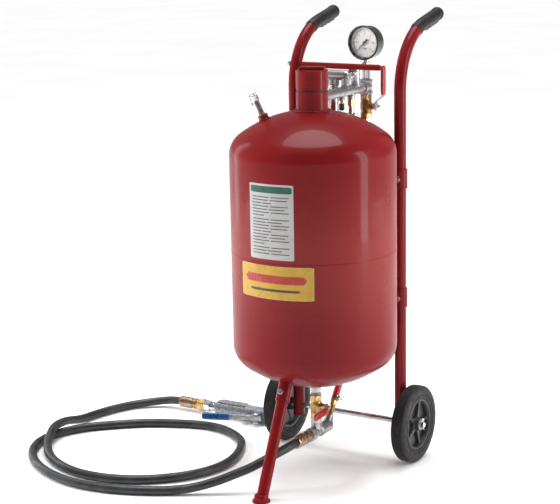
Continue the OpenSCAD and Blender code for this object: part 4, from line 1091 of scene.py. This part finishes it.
face = at(0, DIAL_Y, GAUGE_Z) @ FORWARD
dial = Piece("gauge_face", "dial_white", "gauge_dial", place=face)
dial.add(turned([(1.6, -8.9), (GAUGE_R - 4.2, -8.9), (GAUGE_R - 4.2, -10), (1.6, -10)], 0.1, 96, closed=True))
FULL, MARKS, SCALE_R, DIGIT_R, INNER_ARC_R = 270, 60, 24.6, 16.6, 13.2
printed = Matrix.Diagonal((1.11, 1.11, 1, 1))


def on_dial(share):
    """Angle of a share of the full scale, from the lower left clockwise."""
    return math.radians(225 - FULL * share)


for k in range(MARKS + 1):
    long = k % 10 == 0
    inner = 19.5 if long else (21.6 if k % 5 == 0 else 22.6)
    a = on_dial(k / MARKS)
    half = 0.28 if long else 0.13
    tick = extruded([(inner, -half), (SCALE_R, -half), (SCALE_R, half), (inner, half)], 0.12, 0.02)
    dial.add(tick, printed @ at(z=-8.95) @ Matrix.Rotation(a, 4, "Z"), "needle_black")
for r, wire_r, ink in ((SCALE_R, 0.14, "needle_black"), (INNER_ARC_R, 0.12, "plate_red")):
    line = [polar(r, on_dial(k / 90), -8.9) for k in range(91)]
    dial.add(swept(line, wire_r, 6), printed, ink)
for k in range(7):
    text = bpy.data.curves.new("digits", "FONT")
    text.body, text.size, text.align_x, text.align_y = str(2 * k), 4.6, "CENTER", "CENTER"
    text.extrude, text.resolution_u = 0.05, 3
    holder = bpy.data.objects.new("digits", text)
    digits = bpy.data.meshes.new_from_object(holder)
    shell_of = ([tuple(v.co) for v in digits.vertices], [tuple(p.vertices) for p in digits.polygons])
    dial.add(shell_of, printed @ at(*polar(DIGIT_R, on_dial(k / 6), -8.87)), "needle_black")
    bpy.data.objects.remove(holder)
    bpy.data.meshes.remove(digits)
    bpy.data.curves.remove(text)
for half, low, high, corner in ((5, -12.5, -10.9, 0.5), (3.4, -15.2, -14, 0.4)):
    mark = extruded([(-half, low), (half, low), (half, high), (-half, high)], 0.1, 0.02, corner)
    dial.add(mark, at(z=-8.92), "plate_print")

needle = Piece("gauge_pointer", "needle_black", "gauge_needle", body="needle",
    place=gauge @ at(z=6) @ turn(135, "Z"))
needle.add(extruded([(-9.5, -2.1), (-9.5, 2.1), (0, 1.5), (23, 0.4), (23, -0.4), (0, -1.5)], 0.8, 0.2))
needle.add(solid([(2.6, -1.2), (3, -0.6), (3, 1.2), (1.2, 1.2), (1.2, 3.9)], 0.3, 40))
lens = Piece("gauge_window", "lens", "gauge_lens", place=gauge)
lens.add(turned([(0, 1.9), (GAUGE_R - 4.3, 2.2), (GAUGE_R - 4.3, 3.6), (0, 3.4)], 0.2, 96))

# ---- fittings of the air hose ----

AIR_END = Vector(AIR_ROUTE[-1])
BARB_LEAN, BARB_L = 35, 32
lower_barb = Matrix.Translation(AIR_END) @ turn(180 - BARB_LEAN, "X")


def clamp(piece, place, r):
    """A worm-drive clamp: slotted band, housing and screw."""
    piece.add(pipe(r + 1.2, r + 0.15, 0, 9, 0.3, 64), place)
    for k in range(16):
        a = 200 + 9 * k
        slot_bar = extruded([(-0.45, -3), (0.45, -3), (0.45, 3), (-0.45, 3)], 0.35, 0.1)
        piece.add(slot_bar, place @ turn(a, "Z") @ at(r + 1.1, 0, 4.5) @ turn(90, "Y") @ turn(25, "Z"))
    housing = extruded([(r + 0.2, -5), (r + 4, -5), (r + 5.4, -2), (r + 5.4, 4), (r + 0.2, 5)], 8.4, 0.5, 1.0)
    piece.add(housing, place @ at(z=0.3))
    screw = place @ at(r + 3.0, -8.5, 4.5) @ ALONG_Y
    piece.add(hexagon(6.2, 3.5), screw)
    piece.add(turned([(0, 2), *thread(2.1, 2.5, 15.5, 1.1, 0.5), (0, 15.5)], 0.1, 24), screw)


clamps = Piece("air_hose_clamps", "bright_steel", "hose_clamps")
clamp(clamps, at(0, BARB_Y, 704), AIR_HOSE_R + 0.2)
clamp(clamps, lower_barb @ at(z=-11), AIR_HOSE_R + 0.2)

barbs = Piece("air_hose_tails", "brass", "hose_barbs")
barbs.add(hexagon(13, BAR_Z - 19 - 728), at(0, BARB_Y, 728))
barbs.add(solid([(5.6, 710), (6.2, 711), (6.2, 715), (5.7, 715.8), (5.7, 717), (6.2, 717.8), (6.2, 730)],
    0.4, 48), at(0, BARB_Y), "bright_steel")
barbs.add(hexagon(13, 10), lower_barb)
barbs.add(solid([(5.5, 9), (5.5, 17), (6.4, 18), (6.4, 22), (5.5, 23), (5.5, BARB_L)], 0.5, 48),
    lower_barb)

# ---- outlet ----

nipple = Piece("outlet_pipe_nipple", "galvanised", "outlet_nipple")
low = OUTLET_Z + OUTLET_L / 2
nipple.add(turned([(0, low - 3), *thread(10.5, low - 2, low + 6), (10.5, low + 7), (10.5, 187),
    (0, 187)], 0.4, 64))
TAPE_R, TAPE_RISE = 10.3, 1.9
turns = (0.26 * k for k in range(110))
winding = [polar(TAPE_R, a, low + 6.5 + a / 2 / math.pi * TAPE_RISE) for a in turns]
nipple.add(swept(winding, lambda share, angle: 0.95 + 0.12 * math.sin(share * 90) * math.sin(angle), 10),
           finish="thread_tape")

tee_top = OUTLET_Z - OUTLET_L / 2
tee = Piece("mixing_tee_cast", "galvanised", "mixing_tee")
tee.add(round_bar(11, 0, tee_top - TEE_Z - 8, 1.0, 64), at(z=TEE_Z))
tee.add(hexagon(24, 10), at(z=tee_top - 10))
tee.add(round_bar(9.4, tee_top - 12, tee_top + 1, 0.4, 48))
tee.add(turned([(0, -20), (11.5, -20), (11.5, 6), (12.5, 8), (13.5, 9), (13.5, 12.5), (12.6, 13.5),
    (12.6, 48), (11.6, 51), (9, 52.8), (0, 53)], 1.2, 80), at(z=TEE_Z) @ ALONG_Y)
tee.add(hexagon(24, 13), at(0, -30, TEE_Z) @ ALONG_Y)
tee.add(ring(11.9, 1.3, 64), at(0, -15, TEE_Z) @ ALONG_Y)
tee.add(turned([(0, BARB_L), (8, BARB_L), (8.6, BARB_L + 6), (10.5, BARB_L + 14), (0, BARB_L + 16)], 1.0,
    48), lower_barb)

ferrule = Piece("hose_crimp", "bronze_crimp", "hose_ferrule", place=at(0, -30, TEE_Z) @ FORWARD)
ferrule.add(solid([(9, 0), (9, 5), (11.2, 6), (12.5, 7.5), (12.5, 10), (10.8, 11.3), (12.5, 12.8),
    (12.5, 16), (10.4, 18.5), (10.4, 21), (12.2, 23), (12.2, 25.5),
    *ribbed(12.4, 11.7, 27, 6.2, 4, 3.6, 4.3, 5.5), (12.5, 52), (11.8, 54), (9, 54), (9, 50)], 0.5, 80))

# ---- relief valve ----

valve = Piece("relief_valve_body_turned", "dark_bronze", "relief_valve_body", place=relief @ at(z=BOSS_H))
valve.add(solid([(4.9, -4), (4.9, 0), (6, 0), (6, 4), (5, 5),
    *ribbed(5.4, 4.6, 7, 3.6, 6, 2.1, 2.5, 3.4), (5.2, 30)], 0.3, 48))
valve.add(hexagon(11.6, 9.6), at(z=30.2), "bright_steel")
pull = Piece("relief_pull_split_ring", "bright_steel", "relief_pull_ring", body="relief_pull",
    place=relief @ at(z=BOSS_H + 12))
pull.add(solid([(1.6, 12), (1.6, 28.6), (5.5, 28.7), (5.5, 32.3), (2.4, 33)], 0.4, 32))
pull.add(block(8.5, 5, 2.6, 0.5, 1.5), at(7.2, 0, 29.2))
pull.add(split_ring(9, 0.7), at(9.2, 0, 30.5 - 9) @ turn(90, "Y"))

# ---- gun: it lies on its side, its axis along X from the end of the hose to the nozzle ----

GUN_AT, GUN_FIT, GUN_L, NOZZLE_L = (-474, 200, 18), 100, 140, 52
EARS = [(80, -28), (98, -28), (106, -14), (118, 14), (92, 32), (80, 32)]
EAR_SCREWS, EAR_H = [(89, -22.8), (89, 25)], 4
PIVOT, LEVER_OPEN, LEVER_L = (218, -27), 20, 120
gun = at(*GUN_AT)

fitting = Piece("gun_coupling", "brass", "gun_hose_fitting", place=gun @ ALONG_X)
fitting.add(solid([(9, 4), (9, 0), (11.6, 0), (12.4, 1.6), *ribbed(12.4, 11.8, 4, 5.2, 5, 3.2, 3.9, 4.7),
    (12.4, 31), (11, 33), (9.5, 34), (9.5, 37.5)], 0.5, 72), finish="bronze_crimp")
fitting.add(solid([(9.5, 36), (9.5, 38), (12.4, 39.2), (12.4, 42.6), (11.4, 43.4), (11.4, 44.8),
    (12.4, 45.6), (12.4, 48.6), (10.5, 50.4)], 0.4, 72))
fitting.add(hexagon(26, 18), at(z=50))
fitting.add(hexagon(24, 15), at(z=68), "bright_steel")
fitting.add(solid([(10.5, 82), (10.5, 92), (9.8, 92.6), (9.8, 94), (10.5, 94.6), (10.5, 100.5)], 0.4,
    64), finish="bright_steel")


def casting(name, node, z_side):
    """One half of the die-cast body: half a barrel with flats, the ears and the pivot's lug."""
    half = Piece(name, "gun_cast", node, place=gun, sharp=36)
    sections = []
    for x, r in ((0, 14.6), (0.8, 15.6), (3.2, 17.2), (5, 17.9), (GUN_L - 7, 17.9), (GUN_L - 4.5, 17.3),
                 (GUN_L - 1.5, 15.6), (GUN_L, 14.4)):
        arc = []
        for k in range(25):
            t = math.pi * k / 24
            flat = 0.045 * math.cos(8 * t)
            arc.append((GUN_FIT + x, r * (1 + flat * 0.6) * math.cos(t),
                z_side * (0.04 + r * (1 + flat * 0.6) * math.sin(t) * 0.985)))
        sections.append(arc)
    half.add(lofted(sections))
    for y in (-1, 1):
        rib = extruded([(4, 0), (GUN_L - 6, 0), (GUN_L - 6, 2.6), (4, 2.6)], 2.4, 0.8, 1.0)
        half.add(rib, at(GUN_FIT, y * 17.2 - 1.3, 0.02 if z_side > 0 else -2.42))
    half.add(extruded(EARS, EAR_H - 0.02, 1.1, 3.0), at(GUN_FIT, 0, 0.02 if z_side > 0 else -EAR_H))
    half.add(extruded([(-8, -7), (8, -7), (6, 8), (8, 20), (-10, 20), (-7, 8)], 3, 0.9, 3.0),
        at(PIVOT[0], PIVOT[1], 6.5 if z_side > 0 else -9.5))
    half.add(extruded([(6, -11), (GUN_L - 60, -11), (GUN_L - 62, 11), (8, 11)], 1.2, 0.9, 3.0),
        at(GUN_FIT, 0, z_side * 17.0 - 0.6))


casting("gun_casting_top", "gun_body_upper", 1)
casting("gun_casting_bottom", "gun_body_lower", -1)

screws = Piece("gun_ear_screws", "bright_steel", "gun_screws", place=gun)
for x, y in EAR_SCREWS:
    spot = at(GUN_FIT + x, y)
    screws.add(round_bar(2, -EAR_H, EAR_H, 0.2, 32), spot)
    screws.add(solid([(1.5, 1.4), (1.9, 2.7), (3.2, 2.6), (3.9, 1.6), (4, 0)], 0.4, 40),
        spot @ at(z=EAR_H))
    screws.add(hexagon(7.6, 2.6), spot @ at(z=-EAR_H - 2.6))

on_pivot = gun @ at(*PIVOT) @ turn(180 + LEVER_OPEN, "Z")
trigger = Piece("gun_lever_plate", "galvanised", "gun_lever", body="trigger", place=on_pivot)
trigger.add(turned([(2.6, -6), (7, -6), (7, 6), (2.6, 6)], 0.8, 48, closed=True))
trigger.add(extruded([(-12, -6), (LEVER_L - 2, -6), (LEVER_L, -3), (LEVER_L, 3), (LEVER_L - 2, 6),
    (-12, 6)], 3, 0.7, 2.0), at(y=1.5) @ FORWARD)
handle = Piece("gun_lever_sleeve", "blue_vinyl", "gun_lever_grip", body="trigger", place=on_pivot, sharp=70)
handle.add(vinyl_sleeve(LEVER_L / 2 + 3, 40, 3.9, 7.9, 0.6, 0.6, 0.4, 6),
           at(x=LEVER_L / 2) @ ALONG_X @ turn(90, "Z"))

pin = Piece("gun_pivot_disc", "bright_steel", "gun_pivot_pin", place=gun @ at(*PIVOT))
pin.add(round_bar(2.5, -11, 11, 0.2, 32))
for end in (HERE, DOWN):
    pin.add(solid([(7.5, 9.5), (7.5, 10.8), (6.6, 11.5), (2.2, 11.5), (1.6, 10.9)], 0.3, 48), end)

nozzle_end = gun @ at(x=GUN_FIT + GUN_L) @ ALONG_X
nut = Piece("gun_nozzle_collet", "bright_steel", "gun_nozzle_nut", place=nozzle_end)
nut.add(turned([(4.6, -0.5), (7, -0.5), *thread(7, 0.4, 8.4, 1.4, 0.5), (7, 9.2), (4.6, 9.2)], 0.15, 48,
    closed=True))
nut.add(hexagon(23, 19, bore=4.6), at(z=9))
nut.add(turned([(4.6, 27.5), (7, 27.5), (7, 33), (6.2, 34), (4.6, 34)], 0.5, 48, closed=True))
nozzle = Piece("gun_nozzle_ceramic", "ceramic", "gun_nozzle", place=nozzle_end)
nozzle.add(turned([(2.5, 0), (4.5, 0), (4.5, NOZZLE_L - 1.4), (3.6, NOZZLE_L), (2.8, NOZZLE_L),
    (2.5, NOZZLE_L - 1)], 0.6, 48, closed=True))

# ---- the pieces and the cords ----

shown = {piece.name: piece.make() for piece in Piece.started}
hose, air_hose = shown["blast_hose_rubber"], shown["air_hose_rubber"]
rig.cord(
    hose, exit=in_row([HOSE_ROUTE[0]])[0], length=round(run(hose_line), 2), diameter=HOSE_R / 500,
    far_end="tool", stiffness="medium", lay="loose", path=in_row(hose_line),
    with_pieces=[
        "gun_coupling", "gun_casting_top", "gun_casting_bottom", "gun_ear_screws", "gun_lever_plate",
        "gun_lever_sleeve", "gun_pivot_disc", "gun_nozzle_collet", "gun_nozzle_ceramic",
    ],
)
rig.cord(
    air_hose, exit=in_row([AIR_ROUTE[0]])[0], length=round(run(air_line), 2), diameter=AIR_HOSE_R / 500,
    far_end="object", stiffness="medium", lay="hanging", path=in_row(air_line),
)

# ---- floor and lights ----


def floor():
    f = surface("floor_pale", (0.87, 0.87, 0.87), (0.90, 0.90, 0.90), 1.5, (0.7, 0.8), 90, 0.05,
        specular_ior_level=0.08)
    f.done()
    size = 90
    data = bpy.data.meshes.new("floor")
    data.from_pydata([(-size, -size, -0.0005), (size, -size, -0.0005), (size, size, -0.0005),
        (-size, size, -0.0005)], [], [(0, 1, 2, 3)])
    data.materials.append(f.material)
    obj = bpy.data.objects.new("floor", data)
    bpy.context.scene.collection.objects.link(obj)
    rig.stage(obj)


def soft_box(name, bearing, distance, height, width, tall, power, aim_height=0.5, mirrored_in_gloss=True):
    """An area light at this bearing, in degrees to the right of the camera's side of the object."""
    data = bpy.data.lights.new(name, "AREA")
    data.shape, data.size, data.size_y, data.energy = "RECTANGLE", width, tall, power
    obj = bpy.data.objects.new(name, data)
    bpy.context.scene.collection.objects.link(obj)
    a = math.radians(AZIMUTH + bearing)
    place = TO_ROW.translation + Vector((math.sin(a), -math.cos(a), 0)) * distance
    place.z = height
    obj.location = place
    target = TO_ROW.translation + Vector((0, 0, aim_height))
    obj.rotation_mode = "QUATERNION"
    obj.rotation_quaternion = (place - target).to_track_quat("Z", "Y")
    obj.visible_glossy = mirrored_in_gloss


floor()
soft_box("right_strip", 70, 2.3, 1.0, 0.5, 2.2, 34)
soft_box("left_strip", -128, 2.6, 1.1, 0.6, 2.4, 14)
soft_box("right_fill", 96, 3.0, 1.1, 1.2, 2.4, 70, mirrored_in_gloss=False)
soft_box("left_fill", -92, 3.0, 1.1, 1.2, 2.4, 115, mirrored_in_gloss=False)
soft_box("top_box", -20, 0.9, 3.0, 2.2, 1.6, 8)

SUN_POWER, SUN_SPREAD, SUN_LEAN = 2.8, 40, 0.17
sun = bpy.data.objects.new("high_sun", bpy.data.lights.new("high_sun", "SUN"))
sun.data.energy, sun.data.angle = SUN_POWER, math.radians(SUN_SPREAD)
sun.rotation_mode = "QUATERNION"
behind = math.radians(AZIMUTH + 180)
from_sun = Vector((SUN_LEAN * math.sin(behind), -SUN_LEAN * math.cos(behind), 1))
sun.rotation_quaternion = from_sun.to_track_quat("Z", "Y")
bpy.context.scene.collection.objects.link(sun)


def sky(front=0.03, sides=0.30):
    """Soft white all round, dimmer on the camera's side so that glossy paint keeps a dark front."""
    world = bpy.data.worlds.new("studio")
    bpy.context.scene.world = world
    world.use_nodes = True
    tree = world.node_tree
    shade = tree.nodes["Background"]
    where = tree.nodes.new("ShaderNodeTexCoord").outputs["Generated"]
    toward = tree.nodes.new("ShaderNodeVectorMath")
    toward.operation = "DOT_PRODUCT"
    tree.links.new(where, toward.inputs[0])
    a = math.radians(AZIMUTH)
    toward.inputs[1].default_value = (math.sin(a), -math.cos(a), -0.15)
    level = tree.nodes.new("ShaderNodeMapRange")
    level.interpolation_type = "SMOOTHSTEP"
    for key, value in (("From Min", 0.1), ("From Max", 0.95), ("To Min", sides), ("To Max", front)):
        level.inputs[key].default_value = value
    tree.links.new(toward.outputs["Value"], level.inputs["Value"])
    tree.links.new(level.outputs[0], shade.inputs["Strength"])
    shade.inputs["Color"].default_value = (1, 1, 1, 1)


sky()

with open("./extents.json", "w") as out:
    json.dump({"cad": [list(v) for v in cad_box], "visual": [list(v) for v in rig.bounds()]}, out)
